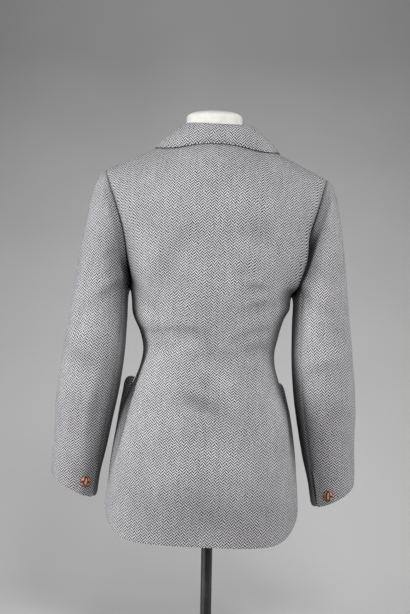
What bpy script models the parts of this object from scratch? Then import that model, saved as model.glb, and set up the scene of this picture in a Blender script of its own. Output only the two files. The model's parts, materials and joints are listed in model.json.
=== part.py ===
"""Fitted herringbone wool jacket on a limbless dress form, in metres, +Z up.

The front faces -Y and the wearer's left is +X, so the back of the jacket faces +Y. Every cloth
piece is a thin wall on one body surface: level rings up to the armpit, then rows that rise to a
straight shoulder ridge. The sleeves are lofted from the armhole to the cuff. What lies on a panel
(collar, lapels, pockets, buttons) is made from the panel's own points, moved out.
"""

import math
from collections import namedtuple

import bmesh
import bpy
import numpy as np
from mathutils import Vector
from mathutils.bvhtree import BVHTree

# Cloth
CLOTH = 0.0022              # wall of the wool with its backing
SEAM_GAP = 0.0003           # space between two pieces sewn together
LIE_GAP = 0.0004            # space under a piece that lies on another
LAP_GAP = 0.0010            # space between the two fronts where they lap
REST_REACH = 0.008          # a piece is moved out only where it comes this near a panel
ROUNDNESS = 2.3             # exponent of the body's rounded sections

# Body heights and sizes
HEM_HEIGHT = 0.215          # lowest line of the hem, at the centre back
HEM_RISE = 0.047            # how far the hem climbs at the side seams
ARMPIT_HEIGHT = 0.652       # bottom of the armhole, and the break of the lapels
TIP_HEIGHT = 0.867          # end of the shoulder line
TIP_ANGLE = math.radians(66.0)
NECK_HALF = 0.066           # half width of the neckline
NECK_POINT_HEIGHT = 0.930   # where neckline and shoulder line meet
NAPE_DROP = 0.008           # neckline at the centre back, below the neck points
NAPE_CURVE = 0.0196         # rise of the unseen ridge inside the neckline
BACK_ROUNDING = 0.100       # height over which the back rounds into the shoulder
FRONT_ROUNDING = 0.090
ARMHOLE_BOTTOM = 0.040      # height of the round bottom of the armhole

# Front closure
LAP = 0.020                 # each front passes the centre by this much
FRONT_CORNER = 0.034        # radius of the front hem corner
ROLL_POWER = 0.85           # bend of the lapel's roll line
LAP_START = 0.045           # where the upper front begins to climb over the lower one
LAP_RUN = 0.020

# The jacket hangs a little askew on the form
LEAN = math.radians(1.6)
LEAN_PIVOT = 0.680

# Body sections
HALF_WIDTH, BACK_DEPTH, FRONT_DEPTH = 1, 2, 3
BODY_RINGS = np.array([
    # height, half width, back depth, front depth
    (0.200, 0.1760, 0.1280, 0.1180),
    (0.280, 0.1735, 0.1270, 0.1170),
    (0.335, 0.1680, 0.1245, 0.1150),
    (0.390, 0.1605, 0.1200, 0.1125),
    (0.440, 0.1500, 0.1120, 0.1080),
    (0.483, 0.1350, 0.1000, 0.1010),
    (0.515, 0.1235, 0.0895, 0.0955),
    (0.5425, 0.1190, 0.0835, 0.0935),
    (0.5785, 0.1240, 0.0860, 0.0985),
    (0.607, 0.1310, 0.0910, 0.1060),
    (0.655, 0.1450, 0.0995, 0.1190),
    (0.700, 0.1590, 0.1040, 0.1240),
    (0.757, 0.1780, 0.1070, 0.1190),
    (0.800, 0.1930, 0.1075, 0.1080),
    (0.840, 0.2060, 0.1045, 0.0960),
    (0.870, 0.2150, 0.1000, 0.0880),
    (0.935, 0.2200, 0.0880, 0.0760),
])

# Armhole edge, as the angle from the centre back or from the centre front
BACK_ANGLE, FRONT_ANGLE = 1, 2
ARMHOLE = np.array([
    # height, back angle, front angle
    (0.652, 72.5, 67.0),
    (0.700, 72.0, 64.0),
    (0.757, 67.5, 59.0),
    (0.800, 66.5, 58.5),
    (0.840, 66.3, 61.0),
    (0.867, 66.0, 66.0),
])

# Soft folds pressed into the body cloth
BODY_FOLDS = np.array([
    # angle from centre back, height, slope, half length, half width, depth
    (52.0, 0.556, 10.0, 0.050, 0.011, -0.0030),
    (58.0, 0.528, -14.0, 0.055, 0.012, 0.0026),
    (24.0, 0.536, 6.0, 0.045, 0.010, -0.0018),
    (40.0, 0.590, 28.0, 0.060, 0.014, 0.0018),
    (62.0, 0.640, 55.0, 0.055, 0.012, -0.0022),
    (140.0, 0.560, -12.0, 0.050, 0.012, -0.0022),
    (128.0, 0.620, -40.0, 0.060, 0.014, 0.0022),
])

# Sleeve below the armhole
ARM_X, ARM_Y, ARM_WIDTH, ARM_DEPTH, ARM_SLANT = 1, 2, 3, 4, 5
SLEEVE_RINGS = np.array([
    # height, centre x, centre y, half width, half depth, slant
    (0.600, 0.2005, 0.004, 0.0525, 0.062, 0.000),
    (0.535, 0.2060, 0.002, 0.0555, 0.060, 0.002),
    (0.472, 0.2135, -0.006, 0.0550, 0.056, 0.006),
    (0.418, 0.2200, -0.017, 0.0510, 0.051, 0.011),
    (0.377, 0.2248, -0.027, 0.0478, 0.047, 0.015),
    (0.335, 0.2312, -0.038, 0.0446, 0.043, 0.019),
    (0.297, 0.2345, -0.047, 0.0430, 0.041, 0.022),
])
SLANT_LOW = math.radians(150.0)     # the cuff's lowest point, at the inner back
SLEEVE_TOP = 0.600
CUFF_HEIGHT = 0.297
SEAM_ANGLE = math.radians(143.0)    # back and front seams, from the outer side
HEAD_OUT, HEAD_FALL = 0.027, 0.24   # fullness of the sleeve head over the shoulder tip
VENT_HEIGHT = 0.352                 # top of the cuff vent
VENT_OPEN = 0.0021                  # half opening of the vent at the cuff

# How each side hangs: the bow of its back armhole seam, the turn of its sleeve seams, the cuff's
# narrowing, where its cuff button sits, and how far its pocket's mouth gapes
Side = namedtuple("Side", "bow twist narrow button_angle button_height gape")
SIDES = {
    "left": Side(math.radians(-5.0), math.radians(4.0), 0.0000, math.radians(119.0), 0.3220, 0.016),
    "right": Side(math.radians(3.0), math.radians(-5.0), 0.0042, math.radians(103.0), 0.3130, 0.006),
}
NARROW_START = 0.440

# Soft folds of the sleeve
SLEEVE_FOLDS = np.array([
    # angle from the outer side, height, slope, half length, half width, depth
    (112.0, 0.668, 38.0, 0.045, 0.011, 0.0042),
    (96.0, 0.640, 30.0, 0.055, 0.012, -0.0036),
    (70.0, 0.555, -24.0, 0.050, 0.013, 0.0030),
    (100.0, 0.522, -20.0, 0.055, 0.012, -0.0032),
    (60.0, 0.470, 22.0, 0.060, 0.014, 0.0026),
    (262.0, 0.640, -34.0, 0.050, 0.012, -0.0034),
    (255.0, 0.520, 24.0, 0.055, 0.013, 0.0036),
])

# Collar
STAND_HEIGHT = 0.0295
FOLD_RADIUS = 0.0035
NECK_STATION = 0.55         # share of the half collar that lies behind the shoulder
GORGE_RISE = 0.82           # where the collar ends, along the roll line
EDGE_X, EDGE_Y, EDGE_STAND = 1, 2, 3
COLLAR_EDGE = np.array([
    # station, edge x, edge y, share of the stand's height
    (0.00, 0.0000, 0.0690, 1.00),
    (0.14, 0.0335, 0.0660, 0.98),
    (0.28, 0.0665, 0.0570, 0.92),
    (0.42, 0.0950, 0.0370, 0.81),
    (0.55, 0.1095, 0.0080, 0.68),
    (0.70, 0.1110, -0.0185, 0.52),
    (0.85, 0.1060, -0.0400, 0.35),
    (1.00, 0.0980, -0.0560, 0.17),
])
NOTCH_X, NOTCH_HEIGHT = 0.0830, 0.8600
COLLAR_GAP = 0.0009         # space under the fall of the collar

# Lapels
LAPEL_WIDTH = 0.0727
LAPEL_SPREAD = 0.60
LAPEL_ROLL = 4              # columns of the profile that form the roll
LAPEL_GAP = 0.0007          # space under the lapel
LAPEL_STARTS = {"left": 0.34, "right": 0.05}
LAPEL_TURN_LOW = math.radians(-17.0)
LAPEL_TURN_TOP = math.radians(-35.3)
LAPEL_PROFILE = np.array([
    # share of the width, step across, lift
    (0.00, -0.0032, -0.0012),
    (0.00, -0.0037, 0.0010),
    (0.00, -0.0030, 0.0032),
    (0.00, -0.0012, 0.0047),
    (0.10, 0.0000, 0.0052),
    (0.25, 0.0000, 0.0049),
    (0.45, 0.0000, 0.0041),
    (0.65, 0.0000, 0.0034),
    (0.85, 0.0000, 0.0030),
    (1.00, 0.0000, 0.0028),
])

# Patch pockets, as angles from the centre front
POCKET_FRONT = math.radians(37.0)
POCKET_REAR = math.radians(84.0)
POCKET_LOW, POCKET_TOP = 0.298, 0.478
POCKET_RISE = 0.018         # climb of the mouth at its rear end
POCKET_CORNER = 0.16        # share of the width taken off at the bottom corners
POCKET_BAG = 0.005          # fullness of the bag

# Buttons
CUFF_BUTTON_RADIUS = 0.0088
FRONT_BUTTON_RADIUS = 0.0115
FRONT_BUTTON_GAP = 0.0003
BUTTON_DOME = 0.40          # height of the dome against the radius
FRONT_BUTTONS = (("top", 0.600), ("middle", 0.510), ("low", 0.420))

# Dress form and stand
FORM_WIDTH, FORM_BACK, FORM_FRONT, FORM_ROUND = 1, 2, 3, 4
FORM_RINGS = np.array([
    # height, half width, back depth, front depth, roundness
    (0.300, 0.1340, 0.0960, 0.0900, 2.2),
    (0.340, 0.1420, 0.1040, 0.0960, 2.2),
    (0.390, 0.1400, 0.1030, 0.0960, 2.2),
    (0.440, 0.1310, 0.0970, 0.0930, 2.2),
    (0.483, 0.1170, 0.0860, 0.0870, 2.2),
    (0.515, 0.1070, 0.0770, 0.0820, 2.2),
    (0.5425, 0.1030, 0.0720, 0.0810, 2.2),
    (0.5785, 0.1075, 0.0745, 0.0860, 2.2),
    (0.607, 0.1150, 0.0790, 0.0930, 2.2),
    (0.655, 0.1280, 0.0875, 0.1050, 2.2),
    (0.700, 0.1370, 0.0920, 0.1090, 2.2),
    (0.757, 0.1460, 0.0950, 0.1030, 2.2),
    (0.800, 0.1540, 0.0940, 0.0920, 2.1),
    (0.830, 0.1580, 0.0900, 0.0820, 2.0),
    (0.862, 0.1570, 0.0830, 0.0720, 1.75),
    (0.8912, 0.1370, 0.0730, 0.0630, 1.65),
    (0.9107, 0.0970, 0.0610, 0.0555, 1.6),
    (0.920, 0.0660, 0.0555, 0.0525, 1.8),
    (0.931, 0.0525, 0.0520, 0.0510, 2.0),
    (0.948, 0.0505, 0.0505, 0.0505, 2.0),
    (0.968, 0.0500, 0.0500, 0.0500, 2.0),
    (0.9745, 0.0440, 0.0440, 0.0440, 2.0),
    (0.9785, 0.0300, 0.0300, 0.0300, 2.0),
    (0.9800, 0.0120, 0.0120, 0.0120, 2.0),
])
POLE_RADIUS = 0.0100
BASE_RADIUS = 0.150
BASE_THICK = 0.012
BASE_BEVEL = 0.0025

# Fineness of the solids
HEM_ROWS, SHOULDER_ROWS = 13, 10
BACK_COLUMNS, FRONT_COLUMNS = 10, 11
CAP_ROWS, ARM_ROWS = 7, 10
COLLAR_STATIONS, FALL_ROWS = 13, 5
LAPEL_ROWS = 11
POCKET_ROWS, POCKET_COLUMNS = 9, 13
FORM_SIDES, ROUND_SIDES, BUTTON_SIDES = 28, 32, 16

# Plain colours of the solids
WOOL = (0.36, 0.36, 0.375)
LEATHER = (0.27, 0.125, 0.075)
CALICO = (0.84, 0.83, 0.78)
BLACK_STEEL = (0.03, 0.03, 0.032)


def power(value, exponent):
    """Power that keeps the sign, so that a section runs through all its quarters."""
    return np.sign(value) * np.abs(value) ** exponent


def ease(value):
    """Soft step from 0 to 1."""
    value = np.clip(value, 0.0, 1.0)
    return value * value * (3.0 - 2.0 * value)


def unit(vectors):
    """Vectors of length one."""
    return vectors / np.maximum(np.linalg.norm(vectors, axis=-1, keepdims=True), 1e-12)


def smooth(table, column, at):
    """Smooth curve through one column of a table, against its first column."""
    knots, values = table[:, 0], table[:, column]
    if knots[0] > knots[-1]:
        knots, values = knots[::-1], values[::-1]
    slopes = np.gradient(values, knots)
    at = np.clip(at, knots[0], knots[-1])
    low = np.clip(np.searchsorted(knots, at) - 1, 0, len(knots) - 2)
    step = knots[low + 1] - knots[low]
    u = (at - knots[low]) / step
    start = (1.0 + 2.0 * u) * (1.0 - u) ** 2 * values[low] + u * (1.0 - u) ** 2 * step * slopes[low]
    end = u * u * (3.0 - 2.0 * u) * values[low + 1] + u * u * (u - 1.0) * step * slopes[low + 1]
    return start + end


def fold_relief(folds, angle, height, radius):
    """Height of the soft folds at an angle and height on a tube of the given radius."""
    relief = np.zeros(np.broadcast(angle, height).shape)
    for middle, level, slope, length, width, depth in folds:
        along = (angle - math.radians(middle)) * radius
        up = height - level
        turn = math.radians(slope)
        run = along * math.cos(turn) + up * math.sin(turn)
        across = up * math.cos(turn) - along * math.sin(turn)
        relief = relief + depth * np.exp(-(run / length) ** 2 - (across / width) ** 2)
    return relief


def shoulder_top(x):
    """Height of the top edge of the body cloth at x, and how far the ridge lies over it."""
    inside = np.clip(1.0 - (x / NECK_HALF) ** 2, 0.0, 1.0)
    slope = (NECK_POINT_HEIGHT - TIP_HEIGHT) / (tip_x() - NECK_HALF)
    shoulder = NECK_POINT_HEIGHT - slope * np.maximum(x - NECK_HALF, 0.0)
    return shoulder - NAPE_DROP * inside, (NAPE_DROP + NAPE_CURVE) * inside


def tip_x():
    """Half width of the shoulders at their tips."""
    return smooth(BODY_RINGS, HALF_WIDTH, TIP_HEIGHT) * math.sin(TIP_ANGLE) ** (2.0 / ROUNDNESS)


def body_ring(angle, height):
    """Point of the body below the armpit, at an angle from the centre back."""
    width = smooth(BODY_RINGS, HALF_WIDTH, height)
    back = smooth(BODY_RINGS, BACK_DEPTH, height)
    front = smooth(BODY_RINGS, FRONT_DEPTH, height)
    x = width * power(np.sin(angle), 2.0 / ROUNDNESS)
    depth = np.where(np.cos(angle) > 0.0, back, front)
    y = depth * power(np.cos(angle), 2.0 / ROUNDNESS)
    return np.stack(np.broadcast_arrays(x, y, height), axis=-1)


def armhole_angle(sheet, height, bow=0.0):
    """Angle of the armhole edge from the centre of the back (1) or of the front (-1)."""
    column = BACK_ANGLE if sheet > 0 else FRONT_ANGLE
    share = (height - ARMPIT_HEIGHT) / (TIP_HEIGHT - ARMPIT_HEIGHT)
    angle = np.radians(smooth(ARMHOLE, column, height)) + bow * np.sin(math.pi * share) ** 1.5
    level = np.clip((height - ARMPIT_HEIGHT) / ARMHOLE_BOTTOM, 0.0, 1.0)
    return angle + (math.pi / 2.0 - angle) * (1.0 - np.sqrt(1.0 - (1.0 - level) ** 2))


def body_upper(sheet, share, rise, bow=0.0):
    """Point of the body above the armpit.

    share runs from the centre line (0) to the armhole edge (1), rise from the armpit (0) to the
    shoulder ridge (1).
    """
    level = ARMPIT_HEIGHT + (TIP_HEIGHT - ARMPIT_HEIGHT) * np.clip(rise, 0.0, 1.0)
    angle = share * armhole_angle(sheet, level, bow)
    top_x = tip_x() * (np.sin(np.abs(share) * TIP_ANGLE) / math.sin(TIP_ANGLE)) ** (2.0 / ROUNDNESS)
    top, over = shoulder_top(top_x)
    height = ARMPIT_HEIGHT + (top - ARMPIT_HEIGHT) * rise
    x = smooth(BODY_RINGS, HALF_WIDTH, level) * power(np.sin(angle), 2.0 / ROUNDNESS)
    column = BACK_DEPTH if sheet > 0 else FRONT_DEPTH
    rounding = BACK_ROUNDING if sheet > 0 else FRONT_ROUNDING
    depth = smooth(BODY_RINGS, column, height) * np.cos(angle) ** (2.0 / ROUNDNESS)
    below = np.clip((over + (top - ARMPIT_HEIGHT) * (1.0 - rise)) / rounding, 0.0, 1.0)
    y = sheet * depth * np.sqrt(1.0 - (1.0 - below) ** 2)
    return np.stack(np.broadcast_arrays(x, y, height), axis=-1)


def front_sheet(x, height):
    """Point of the upper front at a given x and height."""
    rise = np.clip((height - ARMPIT_HEIGHT) / (NECK_POINT_HEIGHT - ARMPIT_HEIGHT), 0.0, 1.0)
    share = np.zeros_like(rise)
    for _ in range(14):
        level = ARMPIT_HEIGHT + (TIP_HEIGHT - ARMPIT_HEIGHT) * rise
        width = smooth(BODY_RINGS, HALF_WIDTH, level)
        share = np.arcsin(power(np.clip(x / width, -1.0, 1.0), ROUNDNESS / 2.0))
        share = np.clip(share / armhole_angle(-1, level), -1.0, 1.0)
        top_x = np.sin(np.abs(share) * TIP_ANGLE) / math.sin(TIP_ANGLE)
        top, _ = shoulder_top(tip_x() * top_x ** (2.0 / ROUNDNESS))
        rise = np.clip((height - ARMPIT_HEIGHT) / (top - ARMPIT_HEIGHT), 0.0, 1.0)
    return body_upper(-1, share, rise)


def shoulder_field(x, y):
    """Point of the body over a place in plan near the neck, on the back or the front."""
    ridge, over = shoulder_top(np.abs(x))
    ridge = ridge + over
    height = ridge
    for _ in range(6):
        width = smooth(BODY_RINGS, HALF_WIDTH, TIP_HEIGHT)
        section = (1.0 - np.abs(x / width) ** ROUNDNESS) ** (1.0 / ROUNDNESS)
        back = smooth(BODY_RINGS, BACK_DEPTH, height) * section
        front = smooth(BODY_RINGS, FRONT_DEPTH, height) * section
        part = np.clip(np.abs(y) / np.where(y > 0.0, back, front), 0.0, 0.999)
        rounding = np.where(y > 0.0, BACK_ROUNDING, FRONT_ROUNDING)
        height = ridge - rounding * (1.0 - np.sqrt(1.0 - part ** 2))
    return np.stack(np.broadcast_arrays(x, y, height), axis=-1)


def field_normal(field, u, v, step=0.0006):
    """Upright or outward normal of a surface given as a function of two values."""
    along = field(u + step, v) - field(u - step, v)
    across = field(u, v + step) - field(u, v - step)
    return unit(np.cross(along, across))


def grid_normals(grid):
    """Normals of a grid of points, pointing away from the first wall side."""
    return unit(np.cross(np.gradient(grid, axis=1), np.gradient(grid, axis=0)))


def body_normals(grid):
    """Normals of a body panel, facing away from the body's axis."""
    normals = grid_normals(grid)
    outward = grid * np.array((1.0, 1.0, 0.0))
    if np.sum(normals * outward) < 0.0:
        normals = -normals
    return normals


def side_normals(heights):
    """Normals along the side seam."""
    step = 0.002
    rate = smooth(BODY_RINGS, HALF_WIDTH, heights + step) - smooth(BODY_RINGS, HALF_WIDTH, heights - step)
    ones = np.ones_like(heights)
    return unit(np.stack((ones, 0.0 * ones, -rate / (2.0 * step)), axis=-1))


def ridge_normal():
    """Normal along the shoulder seam."""
    slope = (NECK_POINT_HEIGHT - TIP_HEIGHT) / (tip_x() - NECK_HALF)
    return np.array((slope, 0.0, 1.0)) / math.hypot(slope, 1.0)


def lean(points):
    """The jacket's slight turn to its right, about a level line from back to front."""
    turned = np.array(points, dtype=float)
    x, up = turned[..., 0].copy(), turned[..., 2] - LEAN_PIVOT
    turned[..., 0] = x * math.cos(LEAN) - up * math.sin(LEAN)
    turned[..., 2] = LEAN_PIVOT + up * math.cos(LEAN) + x * math.sin(LEAN)
    return turned


def mirror(points):
    """The same points on the wearer's other side."""
    return points * np.array((-1.0, 1.0, 1.0))


def material(name, colour, roughness):
    """A plain finish."""
    made = bpy.data.materials.new(name)
    made.use_nodes = True
    shader = made.node_tree.nodes["Principled BSDF"]
    shader.inputs["Base Color"].default_value = (*colour, 1.0)
    shader.inputs["Roughness"].default_value = roughness
    return made


def solid(name, points, faces, colour, roughness):
    """One closed body with its own finish."""
    mesh = bpy.data.meshes.new(name)
    mesh.from_pydata([tuple(point) for point in points], [], faces)
    work = bmesh.new()
    work.from_mesh(mesh)
    bmesh.ops.triangulate(work, faces=work.faces)
    bmesh.ops.recalc_face_normals(work, faces=work.faces)
    work.to_mesh(mesh)
    work.free()
    thing = bpy.data.objects.new(name, mesh)
    bpy.context.scene.collection.objects.link(thing)
    mesh.materials.append(material(name + "_finish", colour, roughness))
    return thing


def wall(name, outer, inner, colour=WOOL, roughness=0.9):
    """A cloth wall between two grids of points with the same rows and columns."""
    rows, columns = outer.shape[:2]
    count = rows * columns
    points = np.concatenate((outer.reshape(-1, 3), inner.reshape(-1, 3)))
    faces = []
    for row in range(rows - 1):
        for column in range(columns - 1):
            a = row * columns + column
            quad = (a, a + 1, a + columns + 1, a + columns)
            faces.append(quad)
            faces.append(tuple(count + corner for corner in reversed(quad)))
    rim = [column for column in range(columns)]
    rim += [row * columns + columns - 1 for row in range(1, rows)]
    rim += [(rows - 1) * columns + column for column in range(columns - 2, -1, -1)]
    rim += [row * columns for row in range(rows - 2, 0, -1)]
    for here, there in zip(rim, rim[1:] + rim[:1]):
        faces.append((there, here, count + here, count + there))
    return solid(name, points, faces, colour, roughness)


def turned(name, profile, sides, colour, roughness, place=None):
    """A closed body of rings: rows of radius and height, with flat ends."""
    angles = np.arange(sides) * (2.0 * math.pi / sides)
    circle = np.stack((np.cos(angles), np.sin(angles), 0.0 * angles), axis=-1)
    rings = [circle * radius + np.array((0.0, 0.0, height)) for radius, height in profile]
    return ringed(name, np.array(rings), colour, roughness, place)


def ringed(name, rings, colour, roughness, place=None):
    """A closed body through rings of points, with flat ends."""
    rows, sides = rings.shape[:2]
    points = rings.reshape(-1, 3)
    if place is not None:
        points = place(points)
    faces = [tuple(range(sides)), tuple(range((rows - 1) * sides, rows * sides))]
    for row in range(rows - 1):
        for side in range(sides):
            a, b = row * sides + side, row * sides + (side + 1) % sides
            faces.append((a, b, b + sides, a + sides))
    return solid(name, points, faces, colour, roughness)


def body_height(angle, row):
    """Height of a row of the lower body: the hem (0) climbs at the sides, the armpit (1) is level."""
    level = HEM_HEIGHT + (ARMPIT_HEIGHT - HEM_HEIGHT) * row
    return level + HEM_RISE * np.sin(angle) ** 8 * (1.0 - row) ** 3


def pressed(grid, normals):
    """A body grid with its soft folds."""
    angle = np.arctan2(np.abs(grid[..., 0]), grid[..., 1])
    relief = fold_relief(BODY_FOLDS, angle, grid[..., 2], 0.115)
    return grid + normals * relief[..., None]


def bed(grid):
    """The outer face of a body panel, for other pieces to lie on."""
    rows, columns = grid.shape[:2]
    faces = []
    for row in range(rows - 1):
        for column in range(columns - 1):
            a = row * columns + column
            faces.append((a, a + 1, a + columns + 1, a + columns))
    if np.sum(grid_normals(grid) * grid * np.array((1.0, 1.0, 0.0))) < 0.0:
        faces = [face[::-1] for face in faces]
    return BVHTree.FromPolygons([tuple(point) for point in grid.reshape(-1, 3)], faces)


def rest_on(points, beds, clearance):
    """Points moved out until they clear the panels that they lie on."""
    lifted = np.array(points)
    for panel in beds:
        for index in np.ndindex(lifted.shape[:-1]):
            place, normal, _, apart = panel.find_nearest(Vector(lifted[index]))
            short = clearance - np.dot(lifted[index] - np.array(place), np.array(normal))
            if short > 0.0 and apart < REST_REACH:
                lifted[index] += np.array(normal) * short
    return lifted


def back_panel(side):
    """Outer and inner points of one back, from the centre seam to the side and the armhole."""
    share = np.linspace(0.0, 1.0, BACK_COLUMNS + 1)[None, :]
    low = np.linspace(0.0, 1.0, HEM_ROWS + 1)[:, None]
    high = ease(np.linspace(0.0, 1.0, SHOULDER_ROWS + 1))[1:, None]
    angle = share * math.pi / 2.0 + 0.0 * low
    grid = np.concatenate((
        body_ring(angle, body_height(angle, low)),
        body_upper(1, share + 0.0 * high, high + 0.0 * share, side.bow)))
    normals = body_normals(grid)
    normals[:, 0, 0] = 0.0
    normals[:HEM_ROWS + 1, -1] = side_normals(grid[:HEM_ROWS + 1, -1, 2])
    on_ridge = grid[-1, :, 0] > NECK_HALF
    normals[-1, on_ridge] = ridge_normal()
    normals = unit(normals)
    grid = pressed(grid, normals)
    grid[:, 0, 0] = SEAM_GAP / 2.0
    grid[:HEM_ROWS + 1, -1, 1] += SEAM_GAP / 2.0
    grid[-1, on_ridge, 1] += SEAM_GAP / 2.0
    inner = grid - normals * CLOTH
    inner[:, 0, 0] = SEAM_GAP / 2.0
    return grid, inner


def roll_x(rise):
    """Where the lapel's roll line crosses a row, measured from the centre front."""
    return -LAP + (NECK_HALF + LAP) * rise ** ROLL_POWER


def lap_lift(x):
    """How far the upper front lies over the lower one."""
    return (CLOTH + LAP_GAP) * ease((LAP_START - x) / LAP_RUN)


def front_panel(over):
    """Outer and inner points of one front, from its front edge to the side and the armhole."""
    share = np.linspace(0.0, 1.0, FRONT_COLUMNS + 1)[None, :]
    low = np.linspace(0.0, 1.0, HEM_ROWS + 1)[:, None]
    high = ease(np.linspace(0.0, 1.0, SHOULDER_ROWS + 1))[1:, None]
    up = np.clip(FRONT_CORNER - (ARMPIT_HEIGHT - HEM_HEIGHT) * low, 0.0, FRONT_CORNER)
    edge_x = -LAP + FRONT_CORNER - np.sqrt(FRONT_CORNER ** 2 - up ** 2)
    width = smooth(BODY_RINGS, HALF_WIDTH, HEM_HEIGHT + (ARMPIT_HEIGHT - HEM_HEIGHT) * low)
    edge = np.arcsin(power(edge_x / width, ROUNDNESS / 2.0))
    angle = edge + (math.pi / 2.0 - edge) * share
    lower = body_ring(math.pi - angle, body_height(angle, low))
    level = ARMPIT_HEIGHT + (TIP_HEIGHT - ARMPIT_HEIGHT) * high
    roll = np.arcsin(power(roll_x(high) / smooth(BODY_RINGS, HALF_WIDTH, level), ROUNDNESS / 2.0))
    start = roll / armhole_angle(-1, level)
    grid = np.concatenate((lower, body_upper(-1, start + (1.0 - start) * share, high + 0.0 * share)))
    normals = body_normals(grid)
    normals[:HEM_ROWS + 1, -1] = side_normals(grid[:HEM_ROWS + 1, -1, 2])
    normals[-1] = ridge_normal()
    grid = pressed(grid, normals)
    if over:
        grid = grid + normals * lap_lift(grid[..., 0])[..., None]
    grid[:HEM_ROWS + 1, -1, 1] -= SEAM_GAP / 2.0
    grid[-1, :, 1] -= SEAM_GAP / 2.0
    return grid, grid - normals * CLOTH


def armhole(angle, side):
    """Point of the armhole edge: the shoulder tip at 0, the back at a quarter, then the front."""
    turn = np.mod(angle, 2.0 * math.pi)
    rise = ease(np.abs(1.0 - turn / math.pi))
    ones = np.ones_like(rise)
    behind = (turn <= math.pi)[..., None]
    return np.where(behind, body_upper(1, ones, rise, side.bow), body_upper(-1, ones, rise))


def arm_ring(angle, height, side):
    """Point of the sleeve below the armhole, at an angle from the outer side."""
    narrow = side.narrow * np.clip((NARROW_START - height) / (NARROW_START - CUFF_HEIGHT), 0.0, 1.0) ** 1.5
    x = smooth(SLEEVE_RINGS, ARM_X, height) + narrow
    x = x + (smooth(SLEEVE_RINGS, ARM_WIDTH, height) - narrow) * np.cos(angle)
    y = smooth(SLEEVE_RINGS, ARM_Y, height) + smooth(SLEEVE_RINGS, ARM_DEPTH, height) * np.sin(angle)
    z = height - smooth(SLEEVE_RINGS, ARM_SLANT, height) * np.cos(angle - SLANT_LOW)
    return np.stack(np.broadcast_arrays(x, y, z), axis=-1)


def sleeve_cap(angle, share, side):
    """Point of the sleeve head, a bow from the armhole (0) down to the upper arm (1)."""
    start = armhole(angle, side)
    end = arm_ring(angle, SLEEVE_TOP + 0.0 * angle, side)
    under = 0.5 - 0.5 * np.cos(angle)
    fall = -(HEAD_FALL + 0.22 * under)
    out = unit(np.stack((1.0 + 0.0 * angle, 0.30 * np.sin(angle), fall), axis=-1))
    down = unit(arm_ring(angle, SLEEVE_TOP - 0.02 + 0.0 * angle, side) - end)
    outer = 0.5 + 0.5 * np.cos(angle)[..., None]
    start = start + out * (SEAM_GAP + 0.0005 * under)[..., None]
    first = start + out * (HEAD_OUT - 0.021 * under + 0.013 * np.abs(np.sin(angle)))[..., None]
    second = end - down * (0.022 + 0.100 * outer)
    u = share[..., None]
    return ((1.0 - u) ** 3 * start + 3.0 * (1.0 - u) ** 2 * u * first
            + 3.0 * (1.0 - u) * u * u * second + u ** 3 * end)


def sleeve_point(angle, row, side):
    """Point of the sleeve: the head for rows 0 to 1, the arm for rows 1 to 2."""
    head = sleeve_cap(angle, np.clip(row, 0.0, 1.0), side)
    height = SLEEVE_TOP + (CUFF_HEIGHT - SLEEVE_TOP) * np.clip(row - 1.0, 0.0, 1.0)
    return np.where((row <= 1.0)[..., None], head, arm_ring(angle, height, side))


def sleeve_surface(angle, row, side):
    """Points and outward normals of the folded sleeve."""
    step = 0.004
    around = sleeve_point(angle + step, row, side) - sleeve_point(angle - step, row, side)
    below = sleeve_point(angle, np.minimum(row + step, 2.0), side)
    above = sleeve_point(angle, np.maximum(row - step, 0.0), side)
    normals = unit(np.cross(below - above, around))
    points = sleeve_point(angle, row, side)
    fade = ease(row / 0.4)
    relief = fade * fold_relief(SLEEVE_FOLDS, np.mod(angle, 2.0 * math.pi), points[..., 2], 0.055)
    return points + normals * relief[..., None], normals


def sleeve_panel(first, last, back_edge, side):
    """Outer and inner points of one piece of the sleeve between two seam angles.

    The columns fall on the armhole's own points; back_edge is the column with the cuff vent.
    """
    rows = np.concatenate((np.linspace(0.0, 1.0, CAP_ROWS + 1), np.linspace(1.0, 2.0, ARM_ROWS + 1)[1:]))
    step = math.pi / SHOULDER_ROWS
    shared = np.arange(math.ceil(first / step + 0.3), math.floor(last / step - 0.3) + 1) * step
    angle, row = np.meshgrid(np.concatenate(((first,), shared, (last,))), rows)
    grid, normals = sleeve_surface(angle, row, side)
    inner = grid - normals * CLOTH
    for edge, inside in ((0, 1), (-1, -2)):
        away = unit(grid[:, inside] - grid[:, edge])
        gap = np.full(len(rows), SEAM_GAP / 2.0)
        if edge == back_edge:
            gap = gap + VENT_OPEN * ease((VENT_HEIGHT - grid[:, edge, 2]) / (VENT_HEIGHT - CUFF_HEIGHT))
        grid[:, edge] += away * gap[:, None]
        inner[:, edge] += away * gap[:, None]
    return grid, inner


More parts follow.
